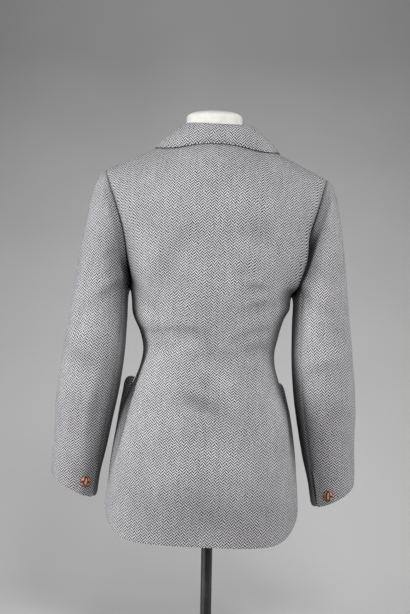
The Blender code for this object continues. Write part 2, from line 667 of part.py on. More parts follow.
def collar_seam(station):
    """Neck seam of the half collar, with the ways towards the neck opening and along the stand."""
    behind = np.clip(station / NECK_STATION, 0.0, 1.0)
    x = NECK_HALF * np.sin(behind * math.pi / 2.0)
    top, over = shoulder_top(x)
    width = smooth(BODY_RINGS, HALF_WIDTH, TIP_HEIGHT)
    section = (1.0 - (x / width) ** ROUNDNESS) ** (1.0 / ROUNDNESS)
    part = np.sqrt(1.0 - (1.0 - over / BACK_ROUNDING) ** 2)
    back = np.stack((x, smooth(BODY_RINGS, BACK_DEPTH, top) * section * part, top), axis=-1)
    before = np.clip((station - NECK_STATION) / (1.0 - NECK_STATION), 0.0, 1.0)
    rise = 1.0 - (1.0 - GORGE_RISE) * before
    level = ARMPIT_HEIGHT + (TIP_HEIGHT - ARMPIT_HEIGHT) * rise
    roll = np.arcsin(power(roll_x(rise) / smooth(BODY_RINGS, HALF_WIDTH, level), ROUNDNESS / 2.0))
    front = body_upper(-1, roll / armhole_angle(-1, level), rise)
    seam = np.where((station <= NECK_STATION)[..., None], back, front)
    ahead = ease(before * 1.15)[..., None]
    inward = unit(seam * np.array((-1.0, -1.0, 0.0)))
    across = np.array((-math.cos(LAPEL_TURN_LOW), 0.0, math.sin(-LAPEL_TURN_LOW)))
    upward = np.array((0.0, 0.0, 1.0))
    outward = np.array((0.10, -0.90, 0.42))
    return seam, unit(inward + (across - inward) * ahead), unit(upward + (outward - upward) * ahead)


def half_collar():
    """Outer points of the half collar on the wearer's left, a row per station from the centre back."""
    station = np.linspace(0.0, 1.0, COLLAR_STATIONS + 1)
    seam, inward, upward = collar_seam(station)
    share = smooth(COLLAR_EDGE, EDGE_STAND, station)[:, None]
    foot = seam + inward * (CLOTH + 0.0008) + upward * 0.0006
    top = foot + upward * (STAND_HEIGHT * share - FOLD_RADIUS)
    middle = top - inward * FOLD_RADIUS
    rows = [foot, foot + (top - foot) * 0.5, top]
    for turn in np.radians((40.0, 80.0, 120.0, 160.0)):
        rows.append(middle + (inward * math.cos(turn) + upward * math.sin(turn)) * FOLD_RADIUS)
    edge_x = smooth(COLLAR_EDGE, EDGE_X, station)
    edge_y = smooth(COLLAR_EDGE, EDGE_Y, station)
    normal = field_normal(shoulder_field, edge_x, edge_y)
    edge = shoulder_field(edge_x, edge_y) + normal * (LIE_GAP + CLOTH)
    start = rows[-1]
    notch_x, notch_z = np.array((NOTCH_X,)), np.array((NOTCH_HEIGHT,))
    notch = front_sheet(notch_x, notch_z) + field_normal(front_sheet, notch_x, notch_z) * 0.0040
    bend = ease((station - 0.70) / 0.30)[:, None]
    for share_down in np.linspace(0.0, 1.0, FALL_ROWS + 1)[1:]:
        line = start + (edge - start) * share_down
        bow = 4.0 * share_down * (1.0 - share_down)
        peak = 1.0 - abs(share_down - 0.6) / (0.6 if share_down < 0.6 else 0.4)
        corner = notch - (start + (edge - start) * 0.6)
        rows.append(line + normal * 0.003 * bow * (1.0 - bend) + corner * bend * peak)
    return np.stack(rows, axis=1)


def collar_panel(beds):
    """Outer and inner points of the whole collar, its fall clear of the body."""
    left = half_collar()
    left[:, -FALL_ROWS:] = rest_on(left[:, -FALL_ROWS:], beds, CLOTH + COLLAR_GAP)
    grid = np.concatenate((mirror(left)[::-1], left[1:]))
    normals = grid_normals(grid)
    middle = COLLAR_STATIONS
    if normals[middle, -2, 1] < 0.0:
        normals = -normals
    inner = grid - normals * CLOTH
    fall = inner[middle:, -FALL_ROWS:]
    fall = rest_on(fall, beds, COLLAR_GAP)
    inner[middle:, -FALL_ROWS:] = fall
    inner[:middle + 1, -FALL_ROWS:] = mirror(fall)[::-1]
    return grid, inner


def lapel_panel(first, over, own, other):
    """Outer and inner points of one lapel, from the break (0) to the gorge (1).

    It is turned back on its own front and, where the fronts lap, stays over the other one.
    """
    along = np.linspace(first, 1.0, LAPEL_ROWS + 1)
    rise = 0.04 + (GORGE_RISE - 0.006 - 0.04) * along
    level = ARMPIT_HEIGHT + (TIP_HEIGHT - ARMPIT_HEIGHT) * rise
    roll = np.arcsin(power(roll_x(rise) / smooth(BODY_RINGS, HALF_WIDTH, level), ROUNDNESS / 2.0))
    start = body_upper(-1, roll / armhole_angle(-1, level), rise)
    turn = LAPEL_TURN_LOW + (LAPEL_TURN_TOP - LAPEL_TURN_LOW) * along
    width = LAPEL_WIDTH * along ** LAPEL_SPREAD
    columns = []
    for share, step, lift in LAPEL_PROFILE:
        reach = share * width + step
        x = start[:, 0] + reach * np.cos(turn)
        z = start[:, 2] + reach * np.sin(turn)
        normal = field_normal(front_sheet, x, z)
        under = lap_lift(x) if over else 0.0 * x
        columns.append(front_sheet(x, z) + normal * (lift + under)[:, None])
    grid = np.stack(columns, axis=1)
    grid[:, LAPEL_ROLL:] = rest_on(grid[:, LAPEL_ROLL:], (own,), CLOTH + LAPEL_GAP)
    normals = grid_normals(grid)
    if normals[LAPEL_ROWS // 2, -2, 1] > 0.0:
        normals = -normals
    inner = grid - normals * CLOTH
    inner[:, LAPEL_ROLL:] = rest_on(inner[:, LAPEL_ROLL:], (own,), LAPEL_GAP)
    if over:
        grid, inner = rest_on(grid, (other,), LAPEL_GAP), rest_on(inner, (other,), LAPEL_GAP)
    return grid, inner


def pocket_panel(side):
    """Outer and inner points of one patch pocket, its mouth gaping towards the rear end."""
    up = np.linspace(0.0, 1.0, POCKET_ROWS + 1)[:, None]
    across = np.linspace(0.0, 1.0, POCKET_COLUMNS + 1)[None, :]
    round_off = POCKET_CORNER * (1.0 - np.sqrt(1.0 - np.clip(1.0 - up / 0.25, 0.0, 1.0) ** 2))
    share = round_off + (1.0 - 2.0 * round_off) * across
    angle = POCKET_FRONT + (POCKET_REAR - POCKET_FRONT) * share
    top = POCKET_TOP + POCKET_RISE * ease((across - 0.72) / 0.28)
    height = POCKET_LOW + (top - POCKET_LOW) * up
    grid = body_ring(math.pi - angle, height)
    normals = body_normals(grid)
    grid = pressed(grid, normals)
    bag = POCKET_BAG * np.sin(math.pi * across) * up * (2.0 - up)
    gape = side.gape * up ** 3.2 * np.sin(math.pi * across ** 2.6)
    outer = grid + normals * (CLOTH + LIE_GAP + bag + gape)[..., None]
    return outer, outer - body_normals(outer) * CLOTH


def button(name, radius, seat, facing):
    """A domed leather button, flat behind, seated on a point and facing a direction."""
    side = unit(np.cross(facing, np.array((0.0, 0.0, 1.0))))
    upright = np.cross(side, facing)
    profile = [(radius * 0.86, 0.0), (radius, radius * 0.16)]
    for turn in np.radians((25.0, 48.0, 70.0)):
        profile.append((radius * math.cos(turn), radius * (0.16 + BUTTON_DOME * math.sin(turn))))

    def place(points):
        lifted = points[:, 2:] + LIE_GAP
        return lean(seat + points[:, :1] * side + points[:, 1:2] * upright + lifted * facing)

    turned(name, profile, BUTTON_SIDES, LEATHER, 0.45, place)


def make_jacket():
    """Every piece of the jacket, on both sides."""
    fronts = {"left": front_panel(False), "right": front_panel(True)}
    beds = {name: bed(outer) for name, (outer, _) in fronts.items()}
    crossed = {"left": bed(mirror(fronts["right"][0])), "right": bed(mirror(fronts["left"][0]))}
    for name, turn_to in (("left", lambda points: points), ("right", mirror)):
        side = SIDES[name]
        first, last = side.twist - SEAM_ANGLE, side.twist + SEAM_ANGLE
        pieces = {
            "back_": back_panel(side),
            "front_": fronts[name],
            "sleeve_top_": sleeve_panel(first, last, -1, side),
            "sleeve_under_": sleeve_panel(last, first + 2.0 * math.pi, 0, side),
            "lapel_": lapel_panel(LAPEL_STARTS[name], name == "right", beds[name], crossed[name]),
            "pocket_": pocket_panel(side),
        }
        for piece, (outer, inner) in pieces.items():
            wall(piece + name, lean(turn_to(outer)), lean(turn_to(inner)))
        row = 1.0 + (side.button_height - SLEEVE_TOP) / (CUFF_HEIGHT - SLEEVE_TOP)
        seat, facing = sleeve_surface(np.array((side.button_angle,)), np.array((row,)), side)
        button("cuff_button_" + name, CUFF_BUTTON_RADIUS, turn_to(seat[0]), turn_to(facing[0]))
    outer, inner = collar_panel((bed(back_panel(SIDES["left"])[0]), beds["left"]))
    wall("collar", lean(outer), lean(inner))
    for name, height in FRONT_BUTTONS:
        seat = body_ring(np.array(math.pi), np.array(height))
        rate = smooth(BODY_RINGS, FRONT_DEPTH, height + 0.01) - smooth(BODY_RINGS, FRONT_DEPTH, height - 0.01)
        facing = unit(np.array((0.0, -1.0, -rate / 0.02)))
        seat = seat + facing * (lap_lift(0.0) + FRONT_BUTTON_GAP)
        button("front_button_" + name, FRONT_BUTTON_RADIUS, seat, facing)


def make_stand():
    """The dress form, its pole and its base."""
    angle = np.arange(FORM_SIDES) * (2.0 * math.pi / FORM_SIDES)
    rings = []
    for height, width, back, front, roundness in FORM_RINGS:
        depth = np.where(np.sin(angle) > 0.0, back, front)
        x = width * power(np.cos(angle), 2.0 / roundness)
        y = depth * power(np.sin(angle), 2.0 / roundness)
        rings.append(np.stack((x, y, height + 0.0 * angle), axis=-1))
    ringed("form_body", np.array(rings), CALICO, 0.85)
    pole = [(POLE_RADIUS, BASE_THICK + SEAM_GAP), (POLE_RADIUS, FORM_RINGS[0, 0] - SEAM_GAP)]
    turned("form_pole", pole, ROUND_SIDES, BLACK_STEEL, 0.4)
    base = [
        (BASE_RADIUS - BASE_BEVEL, 0.0),
        (BASE_RADIUS, BASE_BEVEL),
        (BASE_RADIUS, BASE_THICK - BASE_BEVEL),
        (BASE_RADIUS - BASE_BEVEL, BASE_THICK),
    ]
    turned("form_base", base, ROUND_SIDES, BLACK_STEEL, 0.45)


def main():
    """Clear the scene and make the jacket on its form."""
    for thing in list(bpy.data.objects):
        bpy.data.objects.remove(thing)
    make_jacket()
    make_stand()


main()
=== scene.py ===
"""Grey herringbone wool jacket on a limbless dress form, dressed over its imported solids.

Every cloth piece is a thin closed shell: a function of two parameters on a grid gives its outer face,
its own normals give the inner face, and the cut edges are rolled. The sizes are those of the solids,
in metres, with +Z up, the jacket's front towards -Y and the wearer's left towards +X.
"""

import bpy
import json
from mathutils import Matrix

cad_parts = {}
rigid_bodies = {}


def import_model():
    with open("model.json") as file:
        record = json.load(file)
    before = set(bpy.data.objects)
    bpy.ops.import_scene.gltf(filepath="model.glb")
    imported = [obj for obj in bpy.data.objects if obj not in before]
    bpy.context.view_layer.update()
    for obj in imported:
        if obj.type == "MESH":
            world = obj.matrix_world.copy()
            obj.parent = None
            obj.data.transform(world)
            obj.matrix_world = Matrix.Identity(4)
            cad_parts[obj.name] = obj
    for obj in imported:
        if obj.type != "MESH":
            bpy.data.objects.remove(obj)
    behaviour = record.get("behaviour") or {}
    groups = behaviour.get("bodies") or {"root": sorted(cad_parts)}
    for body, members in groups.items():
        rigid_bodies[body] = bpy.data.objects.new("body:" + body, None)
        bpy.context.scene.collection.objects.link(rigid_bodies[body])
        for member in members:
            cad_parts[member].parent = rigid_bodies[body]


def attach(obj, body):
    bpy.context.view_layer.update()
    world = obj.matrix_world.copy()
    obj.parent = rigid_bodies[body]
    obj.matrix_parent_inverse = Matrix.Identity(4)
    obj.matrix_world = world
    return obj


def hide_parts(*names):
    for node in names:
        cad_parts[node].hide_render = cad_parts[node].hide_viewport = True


for default_thing in list(bpy.data.objects):
    bpy.data.objects.remove(default_thing)

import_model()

import json
import logging
import math
from dataclasses import dataclass
from enum import Enum
from typing import Any, Callable, Mapping, Optional, Sequence, Union

import numpy as np
from mathutils import Matrix

Array = np.ndarray
Number = Union[float, Array]
Triple = tuple[float, float, float]
log = logging.getLogger("wool_jacket")

IMAGE_WIDTH, IMAGE_HEIGHT = 410, 614
WEAVE_MAP = "weave"
PAINTED_SHADE_MAP = "crease"
BODY_RADIUS, SLEEVE_RADIUS = 0.115, 0.055   # turn a fold's angle into a length
FOLD_BEND = 0.12                            # how far a fold bows, by its run squared over its half length
TROUGH_SHADE, RIDGE_SHINE = 30.0, 12.0      # painted shade in a trough and painted highlight on a ridge, for each metre of relief
CLOTH_SHARP, TURNED_SHARP = 48.0, 40.0      # degrees past which an edge stays crisp
NEAREST_BLOCK = 300                         # points whose nearest neighbours are found at a time
NEARLY_ONE = 0.999                          # keeps a quarter circle from its upright end
MIRRORED = np.array((-1.0, 1.0, 1.0))


def power(value: Number, exponent: float) -> Array:
    """Power that keeps the sign of its base."""
    return np.sign(value) * np.abs(value) ** exponent


def ease(value: Number) -> Array:
    """Soft step from 0 to 1: three times the square less twice the cube."""
    value = np.clip(value, 0.0, 1.0)
    return value * value * (3.0 - 2.0 * value)


def unit(vectors: Array) -> Array:
    """Vectors of length one."""
    return vectors / np.maximum(np.linalg.norm(vectors, axis=-1, keepdims=True), 1e-12)


def hermite(knots: Array, values: Array, at: Array) -> Array:
    """Smooth curve through values at knots: a cubic on each step, with the mean slope at each knot.

    Args:
        knots: rising places along the curve.
        values: one value, or one row of values, for each knot.
        at: places to read the curve at.

    Returns:
        The curve's values, with the shape of at, then that of one value.
    """
    slopes = np.gradient(values, knots, axis=0)
    at = np.clip(at, knots[0], knots[-1])
    low = np.clip(np.searchsorted(knots, at) - 1, 0, len(knots) - 2)
    step = knots[low + 1] - knots[low]
    u = (at - knots[low]) / step
    spread = (...,) + (None,) * (values.ndim - 1)
    u, step = u[spread], step[spread]
    start = (1.0 + 2.0 * u) * (1.0 - u) ** 2 * values[low] + u * (1.0 - u) ** 2 * step * slopes[low]
    end = u * u * (3.0 - 2.0 * u) * values[low + 1] + u * u * (u - 1.0) * step * slopes[low + 1]
    return start + end


def spaced(count: int, edge: float, close: Sequence[float] = (0.25, 0.55), clear: float = 0.8) -> Array:
    """Even shares from 0 to 1, with a few more just inside both ends for the rolled edges.

    Args:
        count: number of even steps.
        edge: share that the rolled edge takes.
        close: where the extra shares lie within that edge.
        clear: share of that edge that the even steps keep out of.

    Returns:
        Rising shares from 0 to 1.
    """
    near = np.array(close) * edge
    inner = np.linspace(0.0, 1.0, count + 1)
    inner = inner[(inner > edge * clear) & (inner < 1.0 - edge * clear)]
    return np.concatenate(((0.0,), near, inner, 1.0 - near[::-1], (1.0,)))


def run_lengths(grid: Array, axis: int) -> Array:
    """Length of cloth from the grid's first line to each point: the running sum of the steps.

    Args:
        grid: rows and columns of points.
        axis: 0 to measure down the rows, 1 to measure across the columns.

    Returns:
        One length for each point.
    """
    steps = np.linalg.norm(np.diff(grid, axis=axis), axis=-1)
    first = np.zeros_like(np.take(steps, [0], axis=axis))
    return np.cumsum(np.concatenate((first, steps), axis=axis), axis=axis)


def grid_normals(grid: Array) -> Array:
    """Normals of a grid of points, from the cross product of its two directions."""
    return unit(np.cross(np.gradient(grid, axis=1), np.gradient(grid, axis=0)))


def outward_normals(grid: Array) -> Array:
    """Normals of a body panel, turned away from the body's axis.

    Args:
        grid: points of the panel.

    Returns:
        One normal for each point.
    """
    normals = grid_normals(grid)
    outward = grid * np.array((1.0, 1.0, 0.0))
    return normals if np.sum(normals * outward) > 0.0 else -normals


def stepped_normals(point: Callable[[Array, Array], Array], first: Array, second: Array,
                    step: float = 0.0006) -> Array:
    """Normals of a surface, from the cross product of small steps along its two parameters.

    Args:
        point: the surface, as a function of the two parameters.
        first: values of the first parameter.
        second: values of the second parameter.
        step: size of the small steps.

    Returns:
        One normal for each pair of values.
    """
    along = point(first + step, second) - point(first - step, second)
    other = point(first, second + step) - point(first, second - step)
    return unit(np.cross(along, other))


def rest_on(points: Array, bed: Array, facing: Array, clearance: float, reach: float = 0.012) -> Array:
    """Points moved out until they clear a panel: each is tested against the plane of the nearest point.

    Args:
        points: points of the piece that lies on the panel.
        bed: points of the panel's outer face.
        facing: the panel's normals at those points.
        clearance: space to keep.
        reach: points further away than this stay where they are.

    Returns:
        The moved points, in the shape that they came in.
    """
    flat = points.reshape(-1, 3)
    places, normals = bed.reshape(-1, 3), facing.reshape(-1, 3)
    nearest = np.empty(len(flat), dtype=int)
    for block in np.array_split(np.arange(len(flat)), max(1, len(flat) // NEAREST_BLOCK)):
        apart = np.linalg.norm(flat[block, None, :] - places[None, :, :], axis=-1)
        nearest[block] = np.argmin(apart, axis=1)
    away = flat - places[nearest]
    short = clearance - np.sum(away * normals[nearest], axis=-1)
    move = np.where(np.linalg.norm(away, axis=-1) < reach, np.clip(short, 0.0, None), 0.0)
    return (flat + normals[nearest] * move[:, None]).reshape(points.shape)


class SizeTable:
    """A short table of sizes, read smoothly against its first column."""

    def __init__(self, columns: Sequence[str], rows: Sequence[Sequence[float]]) -> None:
        """Keeps the rows in rising order of the first column.

        Args:
            columns: the columns' names.
            rows: the sizes, one row for each place.
        """
        table = np.array(rows, dtype=float)
        self.columns = tuple(columns)
        self.table = table[np.argsort(table[:, 0])]

    def at(self, column: str, where: Number) -> Array:
        """Value of a named column at a place in the first column."""
        values = self.table[:, self.columns.index(column)]
        return hermite(self.table[:, 0], values, np.asarray(where, dtype=float))

    def between(self, column: str, where: Number) -> Array:
        """Value of a named column on straight lines between the rows."""
        return np.interp(where, self.table[:, 0], self.table[:, self.columns.index(column)])


class FoldTable:
    """Soft troughs and ridges placed on a tube of cloth."""

    def __init__(self, radius: float, rows: Sequence[Sequence[float]]) -> None:
        """Keeps rows of angle, height, slope, half length, half width and depth."""
        self.radius = radius
        self.rows = np.array(rows, dtype=float)

    def relief(self, angle: Array, height: Array) -> Array:
        """Height of all folds together: each is a bell across and along its own slanted line.

        Args:
            angle: angle round the tube, in radians.
            height: height up the tube.

        Returns:
            Relief along the normal, in metres.
        """
        total = np.zeros(np.broadcast(angle, height).shape)
        for middle, level, slope, length, width, depth in self.rows:
            along = (angle - math.radians(middle)) * self.radius
            up = height - level
            turn = math.radians(slope)
            run = along * math.cos(turn) + up * math.sin(turn)
            across = up * math.cos(turn) - along * math.sin(turn) + FOLD_BEND * run * run / length
            total = total + depth * np.exp(-(run / length) ** 2 - (across / width) ** 2)
        return total


def wear_and_fold_shade(relief: Array) -> Array:
    """Painted shade that darkens the wool in a fold's trough, and a painted highlight that lightens it on a
    ridge, from the folds' relief.
    """
    return np.where(relief < 0.0, -TROUGH_SHADE, -RIDGE_SHINE) * relief


class Sheet(Enum):
    """The two sheets of cloth over the shoulders, by the way they face."""

    BACK = 1
    FRONT = -1


class Held(Enum):
    """How a piece of cloth is held."""

    DRAPED = "draped"
    HUNG = "hung"
    FOLDED = "folded"
    LAID = "laid"


@dataclass(frozen=True)
class Hang:
    """How one side of the jacket hangs.

    The armhole seam bows, the sleeve twists and narrows, the cuff button has its place, the lapel shows
    from a share of its length, and one front lies over the other. The crease behind the armhole has a
    depth, a top and a flat floor; the back overhangs it, and the pocket's mouth gapes.
    """

    sign: float
    bow: float
    twist: float
    narrow: float
    button_angle: float
    button_height: float
    lapel_start: float
    over: bool
    crease: float
    crease_top: float
    crease_floor: float
    overhang: float
    gape: float
    body_folds: FoldTable
    sleeve_folds: FoldTable


# Columns of each fold: angle and height of its middle, slope, half length, half width, depth.
BODY_FOLDS = (
    (52.0, 0.556, 10.0, 0.050, 0.011, -0.0030),
    (58.0, 0.528, -14.0, 0.055, 0.012, 0.0026),
    (40.0, 0.590, 28.0, 0.060, 0.014, 0.0018),
    (62.0, 0.640, 55.0, 0.055, 0.012, -0.0022),
    (140.0, 0.560, -12.0, 0.050, 0.012, -0.0022),
    (128.0, 0.620, -40.0, 0.060, 0.014, 0.0022),
)
CENTRE_FOLDS = FoldTable(BODY_RADIUS, (
    (0.0, 0.268, 0.0, 0.105, 0.0520, -0.0085),
    (3.0, 0.4630, 17.0, 0.050, 0.0130, -0.0090),
    (-12.0, 0.548, 0.0, 0.040, 0.0200, -0.0048),
    (-2.0, 0.495, 30.0, 0.040, 0.0140, -0.0048),
    (-24.0, 0.500, -10.0, 0.030, 0.0100, 0.0030),
    (24.0, 0.583, 2.0, 0.060, 0.0090, -0.0050),
    (25.0, 0.552, 0.0, 0.040, 0.0100, 0.0042),
))
SLEEVE_FOLDS = (
    (112.0, 0.668, 38.0, 0.045, 0.011, 0.0042),
    (96.0, 0.640, 30.0, 0.055, 0.012, -0.0036),
    (70.0, 0.555, -24.0, 0.050, 0.013, 0.0030),
    (100.0, 0.522, -20.0, 0.055, 0.012, -0.0032),
    (60.0, 0.470, 22.0, 0.060, 0.014, 0.0026),
    (262.0, 0.640, -34.0, 0.050, 0.012, -0.0034),
    (255.0, 0.520, 24.0, 0.055, 0.013, 0.0036),
)


class Side(Enum):
    """The wearer's two sides."""

    LEFT = Hang(
        sign=1.0, bow=math.radians(-5.0), twist=math.radians(4.0), narrow=0.0,
        button_angle=math.radians(119.0), button_height=0.3220, lapel_start=0.34, over=False,
        crease=0.0200, crease_top=0.32, crease_floor=0.0050, overhang=0.0, gape=0.016,
        body_folds=FoldTable(BODY_RADIUS, BODY_FOLDS + (
            (90.0, 0.612, 0.0, 0.050, 0.0240, 0.0068),
            (64.0, 0.580, 8.0, 0.032, 0.0070, -0.0032),
            (48.0, 0.602, 14.0, 0.036, 0.0080, 0.0026),
            (34.0, 0.512, -8.0, 0.040, 0.0085, 0.0026),
            (77.0, 0.425, 88.0, 0.085, 0.0130, -0.0120),
            (78.0, 0.550, 90.0, 0.045, 0.0160, -0.0060),
            (36.0, 0.713, -59.0, 0.055, 0.0160, -0.0050),
            (20.0, 0.400, 82.0, 0.090, 0.0200, 0.0018),
        )),
        sleeve_folds=FoldTable(SLEEVE_RADIUS, SLEEVE_FOLDS + (
            (84.0, 0.700, 44.0, 0.036, 0.0080, -0.0018),
            (56.0, 0.650, 84.0, 0.090, 0.0080, -0.0022),
            (104.0, 0.480, 82.0, 0.100, 0.0120, 0.0034),
            (40.0, 0.610, 26.0, 0.040, 0.0090, -0.0014),
            (84.0, 0.430, 14.0, 0.040, 0.0090, -0.0014),
            (40.0, 0.390, -18.0, 0.045, 0.0100, 0.0013),
            (300.0, 0.480, 20.0, 0.050, 0.0100, -0.0018),
        )))
    RIGHT = Hang(
        sign=-1.0, bow=math.radians(3.0), twist=math.radians(-5.0), narrow=0.0042,
        button_angle=math.radians(103.0), button_height=0.3130, lapel_start=0.05, over=True,
        crease=0.0320, crease_top=0.62, crease_floor=0.0095, overhang=0.0130, gape=0.006,
        body_folds=FoldTable(BODY_RADIUS, BODY_FOLDS + (
            (90.0, 0.632, 0.0, 0.050, 0.0120, 0.0045),
            (46.0, 0.586, 20.0, 0.038, 0.0080, -0.0034),
            (30.0, 0.552, -18.0, 0.036, 0.0080, 0.0028),
            (46.0, 0.632, 14.0, 0.022, 0.0085, -0.0045),
            (42.0, 0.664, -4.0, 0.020, 0.0080, -0.0050),
            (40.0, 0.760, -30.0, 0.030, 0.0140, -0.0040),
            (26.0, 0.380, 96.0, 0.090, 0.0200, 0.0018),
            (80.0, 0.400, 82.0, 0.080, 0.0100, -0.0050),
        )),
        sleeve_folds=FoldTable(SLEEVE_RADIUS, SLEEVE_FOLDS + (
            (76.0, 0.690, 40.0, 0.040, 0.0090, -0.0020),
            (50.0, 0.590, 30.0, 0.040, 0.0090, -0.0015),
            (96.0, 0.450, -16.0, 0.042, 0.0090, 0.0015),
            (54.0, 0.400, 20.0, 0.045, 0.0100, -0.0013),
            (296.0, 0.500, 16.0, 0.050, 0.0100, -0.0018),
        )))

    @property
    def label(self) -> str:
        """The side's name in lower case."""
        return self.name.lower()


@dataclass(frozen=True)
class Lean:
    """The jacket's slight turn to its right on the form."""

    angle: float = math.radians(1.6)
    pivot: float = 0.680

    def place(self, points: Array, sign: float = 1.0) -> Array:
        """Points put on their own side, then turned about a level line from back to front.

        Args:
            points: points of the wearer's left.
            sign: 1 for the left, -1 for the right.

        Returns:
            The points in the part's frame.
        """
        x, up = points[..., 0] * sign, points[..., 2] - self.pivot
        across = x * math.cos(self.angle) - up * math.sin(self.angle)
        height = self.pivot + up * math.cos(self.angle) + x * math.sin(self.angle)
        return np.stack((across, points[..., 1], height), axis=-1)


@dataclass(frozen=True)
class Cloth:
    """Thickness of the wool and the spaces that its pieces keep."""

    wall: float = 0.0022
    seam_gap: float = 0.0003
    lie_gap: float = 0.0004
    lap_gap: float = 0.0010
    roll: float = 0.0026


CLOTH = Cloth()
LEAN = Lean()


@dataclass(frozen=True)
class Rims:
    """How far each edge of a grid is rolled down: a seam a little, a free edge more."""

    first_row: float = 0.0
    last_row: float = 0.0
    first_column: float = 0.0
    last_column: float = 0.0

    def roll(self, grid: Array, normals: Array, width: float) -> Array:
        """Grid with its edges lowered along a bell of the distance from each edge.

        Args:
            grid: points of the outer face.
            normals: their normals.
            width: width of the bell.

        Returns:
            The lowered points.
        """
        down, across = run_lengths(grid, 0), run_lengths(grid, 1)
        dip = (self.first_row * np.exp(-(down / width) ** 2)
               + self.last_row * np.exp(-((down[-1:] - down) / width) ** 2)
               + self.first_column * np.exp(-(across / width) ** 2)
               + self.last_column * np.exp(-((across[:, -1:] - across) / width) ** 2))
        return grid - normals * dip[..., None]


@dataclass
class Shell:
    """One closed wall of cloth between an outer and an inner grid, with its weave's map and the painted shade
    of its folds.
    """

    name: str
    outer: Array
    inner: Array
    weave: Array
    shade: Optional[Array] = None

    def build(self) -> bpy.types.Object:
        """Both faces as quads, joined all round by a strip along the grid's border.

        Returns:
            The piece, with its faces turned outwards.
        """
        rows, columns = self.outer.shape[:2]
        index = np.arange(rows * columns).reshape(rows, columns)
        corners = index[:-1, :-1], index[:-1, 1:], index[1:, 1:], index[1:, :-1]
        quads = np.stack(corners, axis=-1).reshape(-1, 4)
        border = np.concatenate((index[0, :-1], index[:-1, -1], index[-1, :0:-1], index[:0:-1, 0]))
        after = np.roll(border, -1)
        count = rows * columns
        strip = np.stack((after, border, border + count, after + count), axis=-1)
        faces = np.concatenate((quads, quads[:, ::-1] + count, strip))
        points = np.concatenate((self.outer.reshape(-1, 3), self.inner.reshape(-1, 3)))
        at = points[quads]
        normal = np.cross(at[:, 2] - at[:, 0], at[:, 3] - at[:, 1])
        if np.sum(normal * (points[quads[:, 0]] - points[quads[:, 0] + count])) < 0.0:
            faces = faces[:, ::-1]
        weave = np.concatenate((self.weave.reshape(-1, 2), self.weave.reshape(-1, 2)))
        shade = None if self.shade is None else np.tile(self.shade.ravel(), 2)
        return mesh_object(self.name, points, faces.tolist(), weave, shade)

    @property
    def area(self) -> float:
        """Area of the outer face, from the two triangles of each quad.

        Returns:
            Square metres of cloth.
        """
        a, b = self.outer[:-1, :-1], self.outer[:-1, 1:]
        c, d = self.outer[1:, 1:], self.outer[1:, :-1]
        halves = np.cross(b - a, c - a), np.cross(c - a, d - a)
        return float(sum(np.linalg.norm(half, axis=-1).sum() for half in halves) / 2.0)


@dataclass
class SidePiece:
    """A piece of cloth that each of the wearer's sides has."""

    side: Side

    @property
    def hang(self) -> Hang:
        """How the piece's side hangs."""
        return self.side.value

    def sided(self, name: str, outer: Array, inner: Array, weave: Array,
              shade: Optional[Array] = None) -> Shell:
        """The piece's wall, put in its place and named for its side.

        Args:
            name: first part of the piece's name.
            outer: points of the outer face, as for the left side.
            inner: points of the inner face, as for the left side.
            weave: map coordinates of each point.
            shade: painted shade of the folds at each point, less than nothing where a ridge is painted
                lighter.

        Returns:
            The wall in the part's frame.
        """
        outer, inner = LEAN.place(outer, self.hang.sign), LEAN.place(inner, self.hang.sign)
        return Shell(name + self.side.label, outer, inner, weave, shade)


def mesh_object(name: str, points: Array, faces: Sequence[Sequence[int]], weave: Optional[Array] = None,
                crease: Optional[Array] = None, sharp: float = CLOTH_SHARP) -> bpy.types.Object:
    """A smooth mesh object at the origin, with its place in its points.

    Args:
        name: the piece's name.
        points: one row for each point.
        faces: one row of point numbers for each face.
        weave: map coordinates of each point, in metres of cloth.
        crease: painted shade of each point, from how far into a crease it lies; less than nothing on a ridge,
            where it paints a highlight.
        sharp: edges that turn more than this many degrees stay crisp.

    Returns:
        The object, linked to the scene.
    """
    mesh = bpy.data.meshes.new(name)
    mesh.from_pydata(points.tolist(), [], faces)
    mesh.shade_smooth()
    mesh.set_sharp_from_angle(angle=math.radians(sharp))
    if weave is not None:
        corners = np.empty(len(mesh.loops), dtype=np.int32)
        mesh.loops.foreach_get("vertex_index", corners)
        layer = mesh.uv_layers.new(name=WEAVE_MAP)
        layer.data.foreach_set("uv", weave[corners].astype(np.float32).ravel())
    if crease is not None:
        layer = mesh.attributes.new(PAINTED_SHADE_MAP, "FLOAT", "POINT")
        layer.data.foreach_set("value", crease.astype(np.float32))
    thing = bpy.data.objects.new(name, mesh)
    bpy.context.scene.collection.objects.link(thing)
    return thing


def turned_object(name: str, rings: Array, crease: Optional[Array] = None) -> bpy.types.Object:
    """A closed body through rings of points, with a fan at both ends.

    Args:
        name: the piece's name.
        rings: rows of points, each going once round, from the lowest to the highest.
        crease: how deep in a crease each point lies, from 0 to 1, which the finish paints as shade.

    Returns:
        The object, linked to the scene.
    """
    rows, sides = rings.shape[:2]
    index = np.arange(rows * sides).reshape(rows, sides)
    after = np.roll(index, -1, axis=1)
    quads = np.stack((index[:-1], after[:-1], after[1:], index[1:]), axis=-1).reshape(-1, 4)
    points = np.concatenate((rings.reshape(-1, 3), rings[:1].mean(axis=1), rings[-1:].mean(axis=1)))
    low, high = np.full(sides, rows * sides), np.full(sides, rows * sides + 1)
    floor = np.stack((after[0], index[0], low), axis=-1)
    roof = np.stack((index[-1], after[-1], high), axis=-1)
    faces = quads.tolist() + floor.tolist() + roof.tolist()
    depths = None if crease is None else np.concatenate((crease.ravel(), (0.0, 0.0)))
    return mesh_object(name, points, faces, crease=depths, sharp=TURNED_SHARP)


